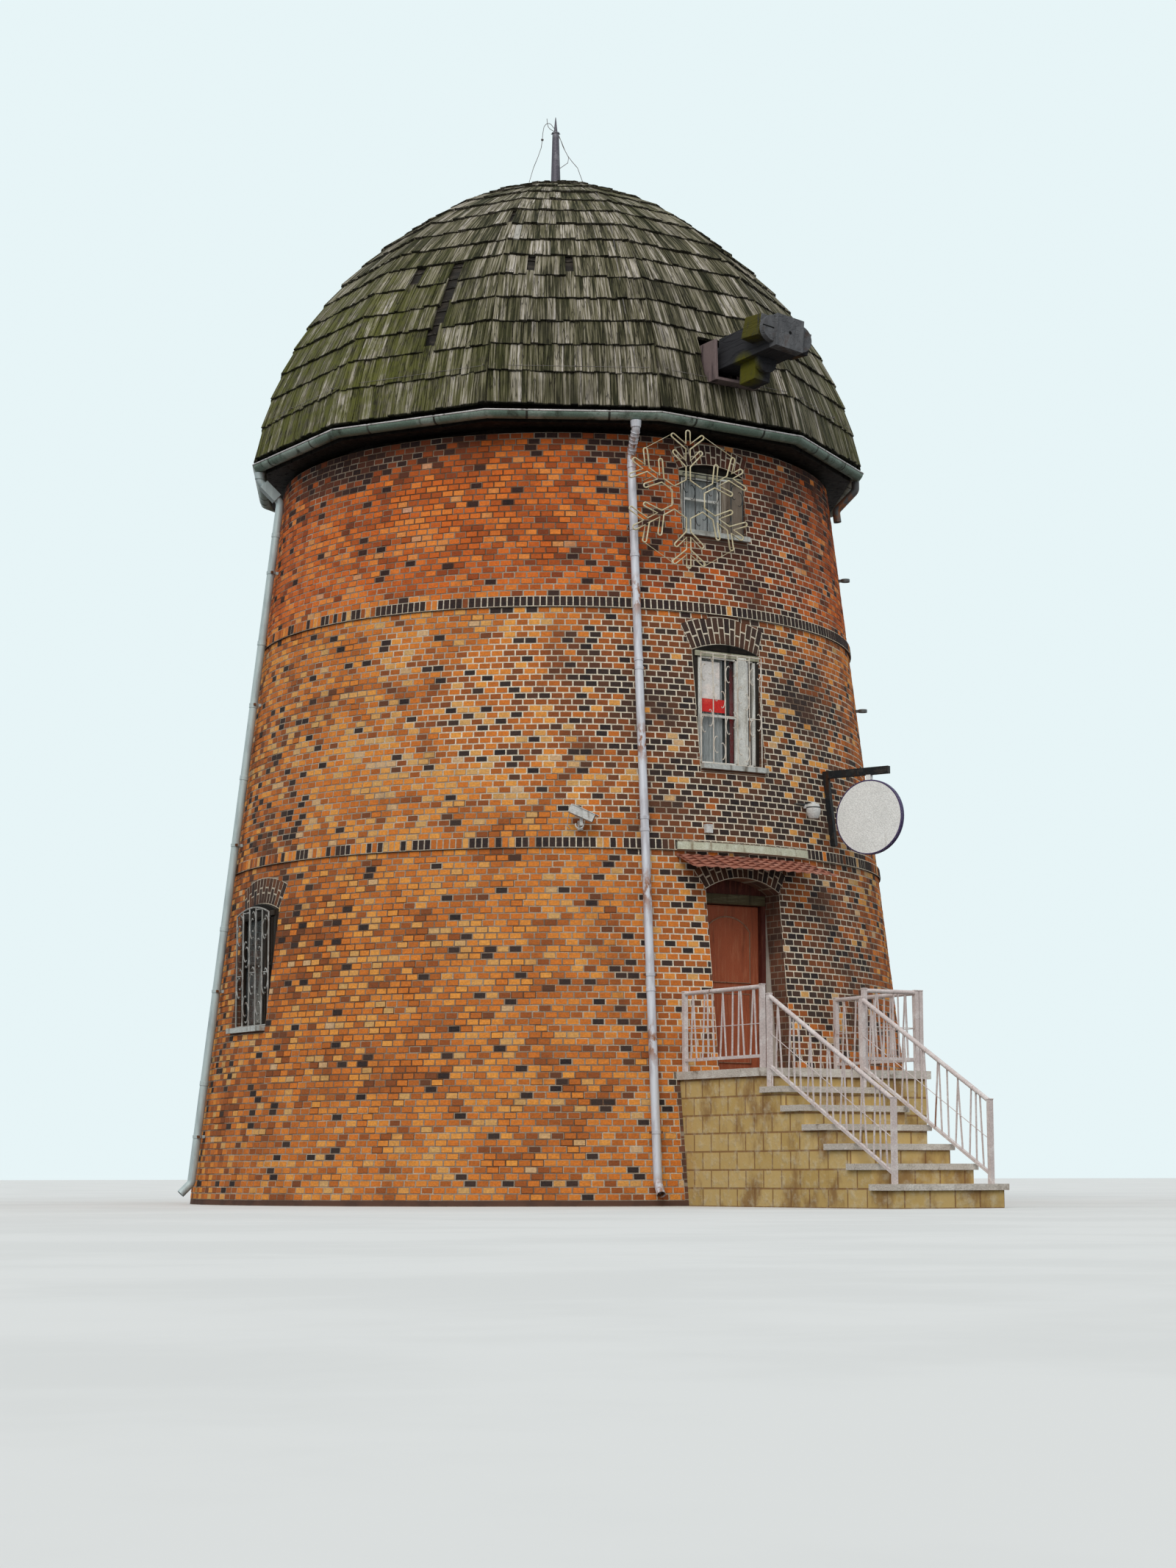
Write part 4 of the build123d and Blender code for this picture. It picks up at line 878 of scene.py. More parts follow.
rail_paint = paint(weathered("rail_paint", (0.60, 0.52, 0.50), (0.68, 0.62, 0.60), (0.27, 0.13, 0.08),
    scale=6.0, dirt_at=(0.62, 0.72), rough=(0.4, 0.75)), "landing_rails", "stair_rails")
window_paint = weathered("window_paint", (0.78, 0.77, 0.72), (0.62, 0.60, 0.53), (0.30, 0.27, 0.21),
    scale=7.0, rough=(0.45, 0.7))


# middle heights of the arch zones, painted black as the shadow under each arch, and how far each
# reaches up and down; below 3.9 m everything is black
arch_shade_zones = ((3.70, 0.21), (6.70, 0.23), (8.90, 0.19))
black_below = 3.9
black_border = 0.412


def black_rim_and_arch_shade(tree, axis):
    """The border of every frame and the ground storey's frames in black, and the zone under each arch black
    as painted shadow.
    """
    aside = compute(tree, "MINIMUM", compute(tree, "ABSOLUTE", axis["X"]),
        compute(tree, "ABSOLUTE", axis["Y"]))
    mask = compute(tree, "MAXIMUM", compute(tree, "GREATER_THAN", aside, black_border),
        compute(tree, "LESS_THAN", axis["Z"], black_below))
    for middle, reach in arch_shade_zones:
        mask = compute(tree, "MAXIMUM", mask, compute(tree, "COMPARE", axis["Z"], middle, reach))
    return mask


overlay(window_paint, black_rim_and_arch_shade, (0.030, 0.024, 0.019))
paint(window_paint, "window_frames")
sill_sheet = weathered("sill_sheet", (0.50, 0.50, 0.47), (0.36, 0.35, 0.32), (0.20, 0.18, 0.15),
    metallic=0.3, rough=(0.35, 0.6))


def sill_edge_shade(tree, axis):
    """The lower part of each sill's edge, painted dark as the shadow under the sheet's lip."""
    mask = 0.0
    for sill in sorted({sill for azimuth, sill, crown, ring in windows}):
        mask = compute(tree, "MAXIMUM", mask, compute(tree, "COMPARE", axis["Z"], sill - 0.052, 0.026))
    return mask


# the sill's lower edge is painted shadow
overlay(sill_sheet, sill_edge_shade, (0.035, 0.030, 0.026))
paint(sill_sheet, "window_sills")
paint(weathered("door_frame_wood", (0.105, 0.024, 0.018), (0.16, 0.05, 0.03), (0.045, 0.022, 0.015),
    stretch=(8, 8, 1), rough=(0.45, 0.7)), "door_frame")
paint(weathered("door_leaf_wood", (0.395, 0.100, 0.045), (0.44, 0.135, 0.065), (0.21, 0.060, 0.032),
    stretch=(9, 9, 0.8), scale=4.0, rough=(0.35, 0.6)), "door_leaf")
print("finishes so far:", len(finish_names))

# %% Metals and plastics
zinc = paint(weathered("gutter_zinc", (0.165, 0.225, 0.180), (0.30, 0.36, 0.31), (0.050, 0.058, 0.040),
    scale=2.2, metallic=0.35, rough=(0.35, 0.6)), "gutter")
flashing_zinc = paint(weathered("flashing_zinc", (0.52, 0.52, 0.40), (0.60, 0.61, 0.50), (0.30, 0.25, 0.17),
    metallic=0.2), "flashing")
spire_sheet = paint(weathered("finial_sheet", (0.115, 0.105, 0.125), (0.18, 0.17, 0.19),
    (0.06, 0.055, 0.06), metallic=0.4, rough=(0.4, 0.6)), "finial")
dark_iron = paint(weathered("dark_iron", (0.022, 0.025, 0.028), (0.05, 0.045, 0.042), (0.06, 0.03, 0.018),
    metallic=0.5), "sign_bracket")
pale_plastic = paint(weathered("pale_plastic", (0.62, 0.62, 0.60), (0.52, 0.51, 0.49), (0.33, 0.30, 0.27),
    scale=9.0, rough=(0.35, 0.55)), "wall_fittings")
paint(weathered("sign_face", (0.84, 0.85, 0.83), (0.80, 0.81, 0.79), (0.62, 0.61, 0.58), scale=3.0,
    dirt_at=(0.6, 0.75), rough=(0.3, 0.5)), "round_sign")
rope_tube = weathered("rope_tube", (0.62, 0.54, 0.34), (0.70, 0.64, 0.46), (0.42, 0.36, 0.22), scale=12.0,
    rough=(0.3, 0.5))
print("finishes so far:", len(finish_names))

# %% [markdown]
# ## Downpipes in two metals
# One node holds all the pipes: the one by the window is painted white and rusts at its joints,
# the one on the left is bare zinc. Their places differ, so the finish picks by place: everything
# left of the door and far round is zinc. Rust is a patch that is only let in near the brackets.

# %% Pipe finish
pipe_finish, tree, shader, place = start_finish("pipe_metal", 0.5, 0.15)
axis = axes_of(tree, place)
far_left = compute(tree, "LESS_THAN", axis["X"], -2.5)
right_side = compute(tree, "GREATER_THAN", axis["X"], 2.0)
patina = patch(tree, place, 3.0, 0.42, 0.68, (4, 4, 0.7))
white = blend_colours(tree, patina, (0.62, 0.63, 0.68), (0.47, 0.45, 0.48))
grey = blend_colours(tree, patina, (0.46, 0.54, 0.54), (0.34, 0.40, 0.41))
colour = stain(tree, blend_colours(tree, far_left, white, grey), (0.10, 0.10, 0.10), right_side)
bracket_gap = 1.75
past_bracket = compute(tree, "MODULO", compute(tree, "ADD", axis["Z"], 0.80), bracket_gap)
near = compute(tree, "ABSOLUTE", compute(tree, "SUBTRACT", past_bracket, bracket_gap / 2))
rust = product(tree, patch(tree, place, 16.0, 0.44, 0.56, (1, 1, 0.5)),
    fade(tree, near, 0.05, 0.30, 1.0, 0.0), compute(tree, "SUBTRACT", 1.0, far_left))
colour = stain(tree, colour, (0.27, 0.10, 0.035), rust)
surface(tree, shader, colour, compute(tree, "ADD", patina, rust), 0.002)
paint(pipe_finish, "downpipes")
print("finish:", pipe_finish.name)

# %% [markdown]
# ## Glass
# The panes are thin and old: they let the daylight through to the curtains behind them, and show
# as glass by their gloss and by a film of dust that comes and goes. Towards grazing angles more of
# the grey film shows, as a painted sheen.

# %% Window glass
glass, tree, shader, place = start_finish("window_glass", 0.06)
shader.inputs["Base Color"].default_value = (0.30, 0.34, 0.34, 1)
shader.inputs["IOR"].default_value = 1.5
dust = patch(tree, place, 5.0, 0.35, 0.8)
# the Fresnel term lets more of the grey film show at grazing angles: a painted sheen on the panes
painted_sheen = put(tree, "ShaderNodeFresnel", {"IOR": 1.5}).outputs[0]
film = compute(tree, "MULTIPLY_ADD", dust, 0.12, 0.04)
leaving = put(tree, "ShaderNodeNewGeometry").outputs["Backfacing"]
dust_and_sheen = product(tree, compute(tree, "ADD", film, painted_sheen), compute(tree, "SUBTRACT", 1.0, leaving))
tree.links.new(dust_and_sheen, shader.inputs["Alpha"])
paint(glass, "window_glass")
print("glass on", nodes["window_glass"].name)

# %% [markdown]
# ## Timber of the windshaft
# The cut-off windshaft is tarred oak, nearly black, grey on its sawn face. Moss grows on the
# stub that faces the weather and on the left face of the lower one. The finish works in the
# shaft's own directions: aside, upwards and back from the middle of the sawn face.

# %% The windshaft's own directions
shaft_azimuth = math.radians(2.4)
shaft_tilt = math.radians(2.2)
shaft_reach = 4.9367
shaft_height = 10.160
ahead = Vector((math.sin(shaft_azimuth), -math.cos(shaft_azimuth), 0))
level_side = Vector((math.cos(shaft_azimuth), math.sin(shaft_azimuth), 0))
shaft_front = ahead * shaft_reach + Vector((0, 0, shaft_height))
shaft_out = ahead * math.cos(shaft_tilt) + Vector((0, 0, math.sin(shaft_tilt)))
shaft_roll = math.radians(-6)
shaft_side = level_side * math.cos(shaft_roll) + shaft_out.cross(level_side) * math.sin(shaft_roll)
shaft_up = shaft_out.cross(shaft_side)
poll_half = 0.2
cheek_backs = (0.05, 0.415)
cheek_thick = 0.078
front_cheek = cheek_backs[0] + cheek_thick


def on_shaft(aside, upwards, back):
    """A point in the windshaft's own directions, from the middle of its cut face."""
    return shaft_front + aside * shaft_side + upwards * shaft_up - back * shaft_out


print("sawn face at", [round(c, 2) for c in shaft_front])

# %% Windshaft finish
tarred, tree, shader, place = start_finish("tarred_oak", 0.8)
from_front = vector_math(tree, "SUBTRACT", place, shaft_front)


def measured(operation, first, second):
    """A distance or a length along a direction."""
    return put(tree, "ShaderNodeVectorMath", {0: first, 1: second}, operation=operation).outputs["Value"]


aside, upwards, back = (measured("DOT_PRODUCT", from_front, way)
    for way in (shaft_side, shaft_up, -shaft_out))
own = vector_of(tree, aside, back, upwards)
fibres = use(tree, grain, Vector=own, Stretch=(9, 1, 9), Scale=3.0)
colour = blend_colours(tree, fibres["Fibre"], (0.013, 0.013, 0.015), (0.052, 0.051, 0.056))
colour = stain(tree, colour, (0.006, 0.005, 0.005), fibres["Crack"], 0.35)
# the sawn face and the round-ended cheeks have weathered to grey; a small hole marks the middle
weather = patch(tree, own, 9.0, 0.35, 0.65, (1, 1, 0.4))
grey = blend_colours(tree, weather, (0.080, 0.082, 0.088), (0.135, 0.138, 0.145))
grey = stain(tree, grey, (0.075, 0.048, 0.036), patch(tree, own, 6.0, 0.55, 0.72), 0.6)
colour = blend_colours(tree, compute(tree, "LESS_THAN", back, front_cheek), colour, grey)
from_axis = compute(tree, "SQRT", compute(tree, "ADD", product(tree, aside, aside),
    product(tree, upwards, upwards)))
hole = fade(tree, from_axis, 0.018, 0.026, 1.0, 0.0)
colour = stain(tree, colour, (0.003, 0.003, 0.003), hole, compute(tree, "LESS_THAN", back, 0.01))
slit = compute(tree, "LESS_THAN", compute(tree, "ABSOLUTE", compute(tree, "SUBTRACT", upwards, 0.02)), 0.009)
beside = compute(tree, "LESS_THAN", aside, -poll_half - 0.001)
on_cheek = compute(tree, "LESS_THAN", back, cheek_backs[0] + 0.01)
colour = stain(tree, colour, (0.006, 0.006, 0.006), slit, beside, on_cheek)
behind = compute(tree, "GREATER_THAN", back, front_cheek)
tuft = patch(tree, own, 14.0, 0.24, 0.52, (1, 1, 0.35))
growths = ((on_shaft(-0.40, 0.10, 0.30), 0.30, 0.95, (0.078, 0.070, 0.008)),
           (on_shaft(-0.16, -0.34, 0.65), 0.26, 0.95, (0.100, 0.094, 0.008)),
           (on_shaft(0.44, -0.06, 0.30), 0.16, 0.8, (0.150, 0.085, 0.030)))
for spot, reach, strength, growth in growths:
    near = fade(tree, measured("DISTANCE", place, spot), reach * 0.6, reach, strength, 0.0)
    colour = stain(tree, colour, growth, near, behind, tuft)
surface(tree, shader, colour, compute(tree, "SUBTRACT", fibres["Fibre"], fibres["Crack"]), 0.004)
paint(tarred, "windshaft")
flat_boards = paint(weathered("shaft_cladding", (0.210, 0.155, 0.152), (0.190, 0.145, 0.140),
    (0.060, 0.045, 0.048), stretch=(3, 3, 0.5)), "shaft_boards")
print(tarred.name, "with", len(growths), "growths of moss and lichen")

# %% [markdown]
# ## Stone-look render on the entrance
# The entrance block is rendered and scored into yellow stones, with brown damp stains. A Brick
# Texture on wide courses scores it; the sides that face left and right read the other axis.

# %% Entrance finish
ochre_stone, tree, shader, place = start_finish("ochre_render", 0.9)
axis = axes_of(tree, place)
unrolled = vector_of(tree, compute(tree, "ADD", axis["X"], axis["Y"]), axis["Z"])
scored = put(tree, "ShaderNodeTexBrick", {"Vector": unrolled, "Color1": (0.50, 0.34, 0.12, 1),
    "Color2": (0.60, 0.43, 0.18, 1), "Mortar": (0.30, 0.17, 0.07, 1), "Scale": 1.0, "Mortar Size": 0.010,
    "Brick Width": 0.33, "Row Height": 0.2}).outputs
damp = patch(tree, place, 2.6, 0.48, 0.68, (1, 1, 0.6))
soil = patch(tree, place, 9.0, 0.45, 0.75)
colour = stain(tree, scored["Color"], (0.22, 0.11, 0.045), damp, 0.75)
colour = stain(tree, colour, (0.62, 0.55, 0.40), soil, 0.5)
surface(tree, shader, colour, compute(tree, "SUBTRACT", product(tree, soil, 0.4), scored["Fac"]), 0.012)
paint(ochre_stone, "entrance_masonry")
print("entrance:", ochre_stone.name)

# %% [markdown]
# ## A tray for small work
# Grilles, sashes and straps are made of bars, blocks and thin plates. A tray collects them in one
# mesh in front of the door's axis, then turns it to where it belongs. Bars are curves with a
# round bevel, because a curve gives clean tubes round every bend. Everything else that is bent is
# a skin over a row of sections.

# %% The tray
def facing_along(place, axis):
    """A frame at a place whose z runs along an axis."""
    return Matrix.Translation(place) @ axis.to_track_quat("Z", "Y").to_matrix().to_4x4()


def circle(radius, steps):
    """Evenly spaced (x, y) points of a circle."""
    turns = [math.tau * k / steps for k in range(steps)]
    return [(radius * math.cos(turn), radius * math.sin(turn)) for turn in turns]


class Tray:
    """Small work in one mesh, made in front of the door's axis and then turned to its place."""

    def __init__(self, place=Matrix()):
        self.mesh = bmesh.new()
        self.place = place

    def block(self, low, high, turn=Matrix()):
        """A box between two corners, turned afterwards."""
        centre = (Vector(low) + Vector(high)) / 2
        size = Vector(high) - Vector(low)
        bmesh.ops.create_cube(self.mesh, size=1.0,
            matrix=turn @ Matrix.Translation(centre) @ Matrix.Diagonal((*size, 1)))

    def bars(self, lines, radius, closed=False, roundness=1):
        """Round bars along lines of points."""
        curve = bpy.data.curves.new("bars", "CURVE")
        curve.dimensions = "3D"
        curve.bevel_depth = radius
        curve.bevel_resolution = roundness
        curve.use_fill_caps = True
        for line in lines:
            run = curve.splines.new("POLY")
            run.points.add(len(line) - 1)
            run.points.foreach_set("co", [c for point in line for c in (*point, 1.0)])
            run.use_cyclic_u = closed
        holder = bpy.data.objects.new("bars", curve)
        mesh = bpy.data.meshes.new_from_object(holder)
        self.mesh.from_mesh(mesh)
        bpy.data.meshes.remove(mesh)
        bpy.data.objects.remove(holder)
        bpy.data.curves.remove(curve)

    def ring(self, points, place=Matrix()):
        """The corners of one section."""
        return [self.mesh.verts.new(place @ Vector(point)) for point in points]

    def skin(self, rings, closed=False):
        """Join section to section, and close the ends, or join the last section to the first."""
        following = rings[1:] + rings[:1] if closed else rings[1:]
        for first, second in zip(rings, following):
            for j in range(len(first)):
                i = (j + 1) % len(first)
                self.mesh.faces.new((first[j], second[j], second[i], first[i]))
        if not closed:
            self.mesh.faces.new(list(reversed(rings[0])))
            self.mesh.faces.new(rings[-1])

    def plate(self, outline, front, back):
        """A flat plate with an outline of (x, z) points, between two distances along y."""
        near, far = (self.ring([(x, y, z) for x, z in outline]) for y in (front, back))
        self.skin([far, near])

    def lathe(self, profile, centre, steps=24, axis=Vector((0, 0, 1))):
        """A round shape from (radius, distance along the axis) points."""
        turn = facing_along(Vector(centre), axis)
        self.skin([self.ring([(x, y, along) for x, y in circle(radius, steps)], turn)
                   for radius, along in profile])

    def finished(self, name, finish, slot, body="building", arris=0.0, smooth=False, replaces=()):
        """Turn the tray into a piece that rides with its body."""
        bmesh.ops.recalc_face_normals(self.mesh, faces=self.mesh.faces)
        bmesh.ops.transform(self.mesh, matrix=self.place, verts=self.mesh.verts)
        mesh = bpy.data.meshes.new(name)
        self.mesh.to_mesh(mesh)
        self.mesh.free()
        mesh.materials.append(finish)
        piece = bpy.data.objects.new(name, mesh)
        scene.collection.objects.link(piece)
        for face in mesh.polygons:
            face.use_smooth = smooth
        if arris:
            bevel = piece.modifiers.new("arris", "BEVEL")
            bevel.width = arris
            bevel.segments = 1
            bevel.limit_method = "ANGLE"
        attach(piece, body)
        if replaces:
            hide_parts(*replaces)
        print(name, len(mesh.polygons), "faces")
        return piece


print("a tray takes blocks, bars, plates, lathe work and skins")

# %% [markdown]
# ## Windshaft
# The poll is a square timber with a cut-off stock through it and another below, and in front of
# each stock a cheek with round ends. The stock through the poll sits a little askew, as the photo
# shows, so it is a block turned about the middle of its mortise.

# %% Poll, cheeks and stocks
shaft_place = Matrix((shaft_side, -shaft_out, shaft_up)).transposed().to_4x4()
shaft_place.translation = shaft_front
poll_long, neck_radius, neck_long = 1.14, 0.184, 0.69
poll = Tray(shaft_place)
poll.block((-poll_half, 0, -poll_half), (poll_half, poll_long, poll_half))
poll.lathe([(neck_radius, 0.0), (neck_radius, neck_long)], (0, poll_long, 0), 40, Vector((0, 1, 0)))


def cheek(half, round_radius, roll, lift, back, upright=False):
    """A flat bar with round ends that shows on both sides of the poll, or only below it."""
    line = []
    for end in (1, -1):
        for k in range(17):
            angle = math.radians(-90 + 180 * k / 16) + (0 if end > 0 else math.pi)
            x = end * (half - round_radius) + round_radius * math.cos(angle)
            line.append((x, round_radius * math.sin(angle)))
    if upright:
        line = [(min(z, poll_half), min(-x, 0.0)) for x, z in line]
    cosine, sine = math.cos(math.radians(roll)), math.sin(math.radians(roll))
    outline = [(x * cosine + z * sine, z * cosine - x * sine + lift) for x, z in line]
    poll.plate(outline, back, back + cheek_thick)


cheek(0.365, 0.163, 3.5, 0.008, cheek_backs[0])
cheek(0.375, 0.135, 0.0, 0.0, cheek_backs[1], upright=True)
askew = Matrix.Rotation(math.radians(5), 4, "Y") @ Matrix.Rotation(math.radians(6), 4, "X")
side_turn = Matrix.Translation((0, 0.295, 0.045)) @ askew
poll.block((-0.357, -0.165, -0.135), (0.40, 0.165, 0.135), side_turn)
poll.block((-0.1125, 0.50, -0.455), (0.1125, 0.80, 0.0))
poll.finished("windshaft_timber", tarred, "shaft_wood", body="shaft", arris=0.007, replaces=("windshaft",))
box_place = Matrix((level_side, -shaft_out, shaft_out.cross(level_side))).transposed().to_4x4()
box_place.translation = shaft_front
cladding = Tray(box_place)
box_inside = 0.306
board_thick = 0.034
box_under = -box_inside - board_thick
for side in (-1, 1):
    middle = side * (box_inside + board_thick / 2)
    cladding.block((middle - board_thick / 2, 1.01, box_under), (middle + board_thick / 2, 1.44, 0.16))
cladding.block((-box_inside, 1.012, box_under), (box_inside, 1.44, -box_inside))
cladding.block((-box_inside, 1.25, -box_inside), (box_inside, 1.28, -0.20))
cladding.finished("shaft_cladding_boards", flat_boards, "shaft_wood", arris=0.003, replaces=("shaft_boards",))

# %% [markdown]
# ## Windows
# Each window sits 0.15 m back in the wall. Before it stands a wrought grille of upright bars with
# scrolls. Net curtains hang behind the glass of the two upper storeys, with a red one beside them
# in the middle storey; the ground storey is dark. Grilles and sashes are worked out from the
# window's own sill and arch, so that the same loop dresses all six.

# %% Finishes in the windows
net_curtain = weathered("net_curtain", (0.66, 0.70, 0.70), (0.80, 0.83, 0.83), (0.46, 0.49, 0.50),
    stretch=(14, 14, 0.4), scale=3.0, rough=(0.9, 0.95), depth=0.004)
red_curtain = weathered("red_curtain", (0.30, 0.014, 0.016), (0.38, 0.025, 0.025), (0.14, 0.007, 0.009),
    stretch=(14, 14, 0.4), scale=3.0, rough=(0.85, 0.95), depth=0.004)
cream_iron = weathered("cream_iron", (0.68, 0.62, 0.54), (0.55, 0.47, 0.38), (0.30, 0.17, 0.10), scale=9.0,
    dirt_at=(0.6, 0.72), rough=(0.45, 0.7))
grey_iron = weathered("grey_iron", (0.30, 0.29, 0.27), (0.42, 0.41, 0.39), (0.16, 0.10, 0.07), scale=9.0,
    metallic=0.2)
black_iron = weathered("black_iron", (0.045, 0.05, 0.055), (0.09, 0.085, 0.08), (0.10, 0.055, 0.03),
    scale=9.0, metallic=0.3)
old_plank = weathered("old_plank", (0.34, 0.27, 0.21), (0.46, 0.39, 0.31), (0.16, 0.12, 0.09),
    stretch=(16, 16, 1), scale=2.5, depth=0.004)
head_board = weathered("head_board", (0.40, 0.39, 0.28), (0.50, 0.49, 0.38), (0.24, 0.22, 0.15),
    stretch=(1, 8, 10))
sash_paint = weathered("sash_paint", (0.74, 0.74, 0.70), (0.64, 0.63, 0.58), (0.40, 0.38, 0.33), scale=6.0)
# nearly black: painted shadow that fills the arch over each window
arch_shadow_board = weathered("arch_shadow_board", (0.010, 0.008, 0.006), (0.022, 0.016, 0.012), (0.004, 0.004, 0.003),
    stretch=(1, 8, 10), rough=(0.85, 0.95))
dark_sash = weathered("dark_sash", (0.030, 0.020, 0.014), (0.060, 0.042, 0.030), (0.012, 0.009, 0.007),
    stretch=(8, 8, 1))
bare_panel = weathered("bare_panel", (0.78, 0.75, 0.72), (0.88, 0.80, 0.74), (0.52, 0.50, 0.48), scale=4.0,
    rough=(0.5, 0.7))
red_strip = weathered("red_strip", (0.70, 0.035, 0.030), (0.78, 0.08, 0.06), (0.46, 0.02, 0.02), scale=4.0,
    rough=(0.5, 0.7))
print("finishes so far:", len(finish_names))

# %% Shapes of one window
frame_setback = 0.15
post_aside = 0.207
post_half = 0.056


def arc_height(x, half, rise, crown):
    """Height of a flat arch at a distance from its middle."""
    radius, centre, spread = arch_of(half, rise, crown)
    return centre + math.sqrt(radius * radius - x * x)


def scroll(x, z, tall, bulge, y):
    """A bar bent like a bracket, with its back at x and its ends turned away."""
    turns = [math.radians(a) for a in range(-105, 106, 15)]
    return [(x + bulge * (1 - math.cos(a)) / 1.26, y,
             z + tall / 2 * math.sin(a) / 0.966 * (1 - 0.12 * (abs(a) > 1.6))) for a in turns]


def grille(tray, sill, crown, bars, y, pitch, thick, bulge, first=0, arched=False):
    """Upright bars with scrolls that lean on them from both sides in turn."""
    half, rise = window_half, window_rise
    low = sill + 0.075
    top = crown - rise - 0.05
    places = [(-half + 0.03) + k * (2 * half - 0.06) / (bars - 1) for k in range(bars)]
    uprights, scrolls, rungs = [], [], []
    for k, x in enumerate(places):
        head = arc_height(x, half, rise, crown) - 0.05 if arched else top
        uprights.append([(x, y, low), (x, y, head)])
        count = int((head - low) / pitch)
        for j in range(count):
            z = low + (j + 0.5 + 0.25 * ((k + first) % 2)) * (head - low) / (count + 0.25)
            way = 1 if (j + k) % 2 else -1
            if abs(x + way * bulge) < half - 0.02:
                scrolls.append(scroll(x + way * thick, z, pitch * 0.72, way * bulge, y))
            if (j + 2 * k) % 4 == 1 and k < bars - 1:
                rungs.append([(x, y, z + pitch * 0.42), (places[k + 1], y, z + pitch * 0.42)])
    if arched:
        ends = [(x, y, arc_height(x, half, rise, crown) - 0.05)
                for x in np.linspace(places[0], places[-1], 13)]
    else:
        ends = [(places[0], y, top), (places[-1], y, top)]
    tray.bars(uprights + [[(places[0], y, low), (places[-1], y, low)], ends], thick)
    tray.bars(rungs, thick * 0.8)
    tray.bars(scrolls, thick * 0.7)


def hang(place, name, finish, left, right, low, top, y, pitch=0.055, depth=0.018):
    """A rod with a curtain that hangs from it in folds: one sheet, cut wider than its window."""
    rod = Tray(place)
    rod.bars([[Vector((left, y, top)), Vector((right, y, top))]], 0.006, roundness=2)
    rod = rod.finished(f"rod_{name}", sash_paint, "window_paint", smooth=True)
    cloth = Tray(place)
    count = max(8, round((right - left) / pitch) * 8)
    line = [Vector((left + (right - left) * k / count, y + depth * math.sin(k * math.pi / 4)))
            for k in range(count + 1)]
    rows = [cloth.ring([(x, back, z) for x, back in line]) for z in (low, top)]
    for k in range(count):
        cloth.mesh.faces.new((rows[0][k], rows[0][k + 1], rows[1][k + 1], rows[1][k]))
    piece = cloth.finished(name, finish, "window_paint", smooth=True)


print("a window has", 2 * window_half, "m between its jambs and a post", 2 * post_half, "m wide")

# %% Sashes, curtains and grilles of all six windows
rail_share = {"ground": 0.52, "middle": 0.43, "upper": 0.52}
# distance of the bars in front of the frame, pitch, thickness and bulge of the scrolls, and finish
grilles = {"ground": (0.075, 0.33, 0.011, 0.085, grey_iron),
           "middle": (0.095, 0.27, 0.0075, 0.052, cream_iron),
           "upper": (0.08, 0.24, 0.0065, 0.060, black_iron)}
panels = (("sign", -0.395, -0.085, 5.915, 6.36, bare_panel),
          ("sign_strip", -0.385, -0.015, 5.757, 5.913, red_strip))
frame_wide = 0.062
stile = 0.038
labels = ("ground_right", "ground_left", "middle_front", "middle_back", "upper_front", "upper_back")
for label, (azimuth, sill, crown, ring) in zip(labels, windows):
    level = label.split("_")[0]
    face = -(wall_radius(sill) - frame_setback)
    spring = crown - window_rise
    place = turned(azimuth)
    inner = window_half - frame_wide
    low, top = sill + frame_wide, spring - 0.055
    middle = sill + rail_share[level] * (crown - sill)
    sashes = Tray(place)
    for left, right in ((-inner, post_aside - post_half), (post_aside + post_half, inner)):
        # left and right, bottom and top, and how far each bar stands out from the frame
        for begin, end, under, over, out in ((left, left + stile, low, top, 0.012),
                                             (right - stile, right, low, top, 0.012),
                                             (left, right, low, sill + 0.11, 0.012),
                                             (left, right, spring - 0.095, top, 0.012),
                                             (left, right, middle - 0.015, middle + 0.015, 0.010)):
            sashes.block((begin, face - out, under), (end, face + 0.02, over))
    sashes.block((post_aside - post_half - 0.004, face - 0.03, low),
        (post_aside + post_half + 0.004, face - 0.001, spring - 0.05))
    dark = level == "ground"
    sashes.finished(f"sashes_{label}", dark_sash if dark else sash_paint, "window_paint", arris=0.003)
    head = Tray(place)
    edge = window_half - 0.006
    head.block((-edge, face - 0.026, spring - 0.075), (edge, face - 0.002, spring - 0.012))
    head.finished(f"head_board_{label}", dark_sash if dark else head_board, "window_paint", arris=0.003)
    # a nearly black plate in the arch over the frame: painted shadow under the arch
    shade = Tray(place)
    arch = [(x, arc_height(x, window_half, window_rise, crown) - 0.010) for x in np.linspace(-edge, edge, 13)]
    shade.plate([(-edge, spring - 0.011), (edge, spring - 0.011)] + arch[::-1], face - 0.008, face - 0.001)
    shade.finished(f"painted_arch_shadow_{label}", arch_shadow_board, "window_paint")
    if not dark:
        net_right = -0.03 if level == "middle" else post_aside - post_half
        hang(place, f"net_curtain_{label}", net_curtain, -inner + 0.01, net_right, sill + 0.09, crown - 0.19,
            face + 0.062)
    if label == "middle_front":
        for name, left, right, under, over, finish in panels:
            panel = Tray(place)
            panel.block((left, face + 0.022, under), (right, face + 0.025, over))
            panel.finished(f"bare_{name}", finish, "window_paint")
    if level == "middle":
        hang(place, f"red_curtain_{label}", red_curtain, 0.10, 0.27, sill + 0.08, crown - 0.17, face + 0.095,
            0.06, 0.016)
    bars = Tray(place)
    before, pitch, thick, bulge, iron = grilles[level]
    grille(bars, sill, crown, 6, face - before, pitch, thick, bulge, first=int(level == "upper"), arched=dark)
    bars.finished(f"grille_{label}", iron, "window_paint", smooth=True)
    if level == "upper":
        jamb = Tray(place)
        jamb.block((0.285, face - 0.05, low), (window_half - 0.004, face - 0.013, spring - 0.05))
        jamb.block((0.146, face - 0.056, low + 0.002), (0.282, face - 0.0305, spring - 0.078))
        jamb.finished(f"jamb_plank_{label}", old_plank, "window_paint", arris=0.004)

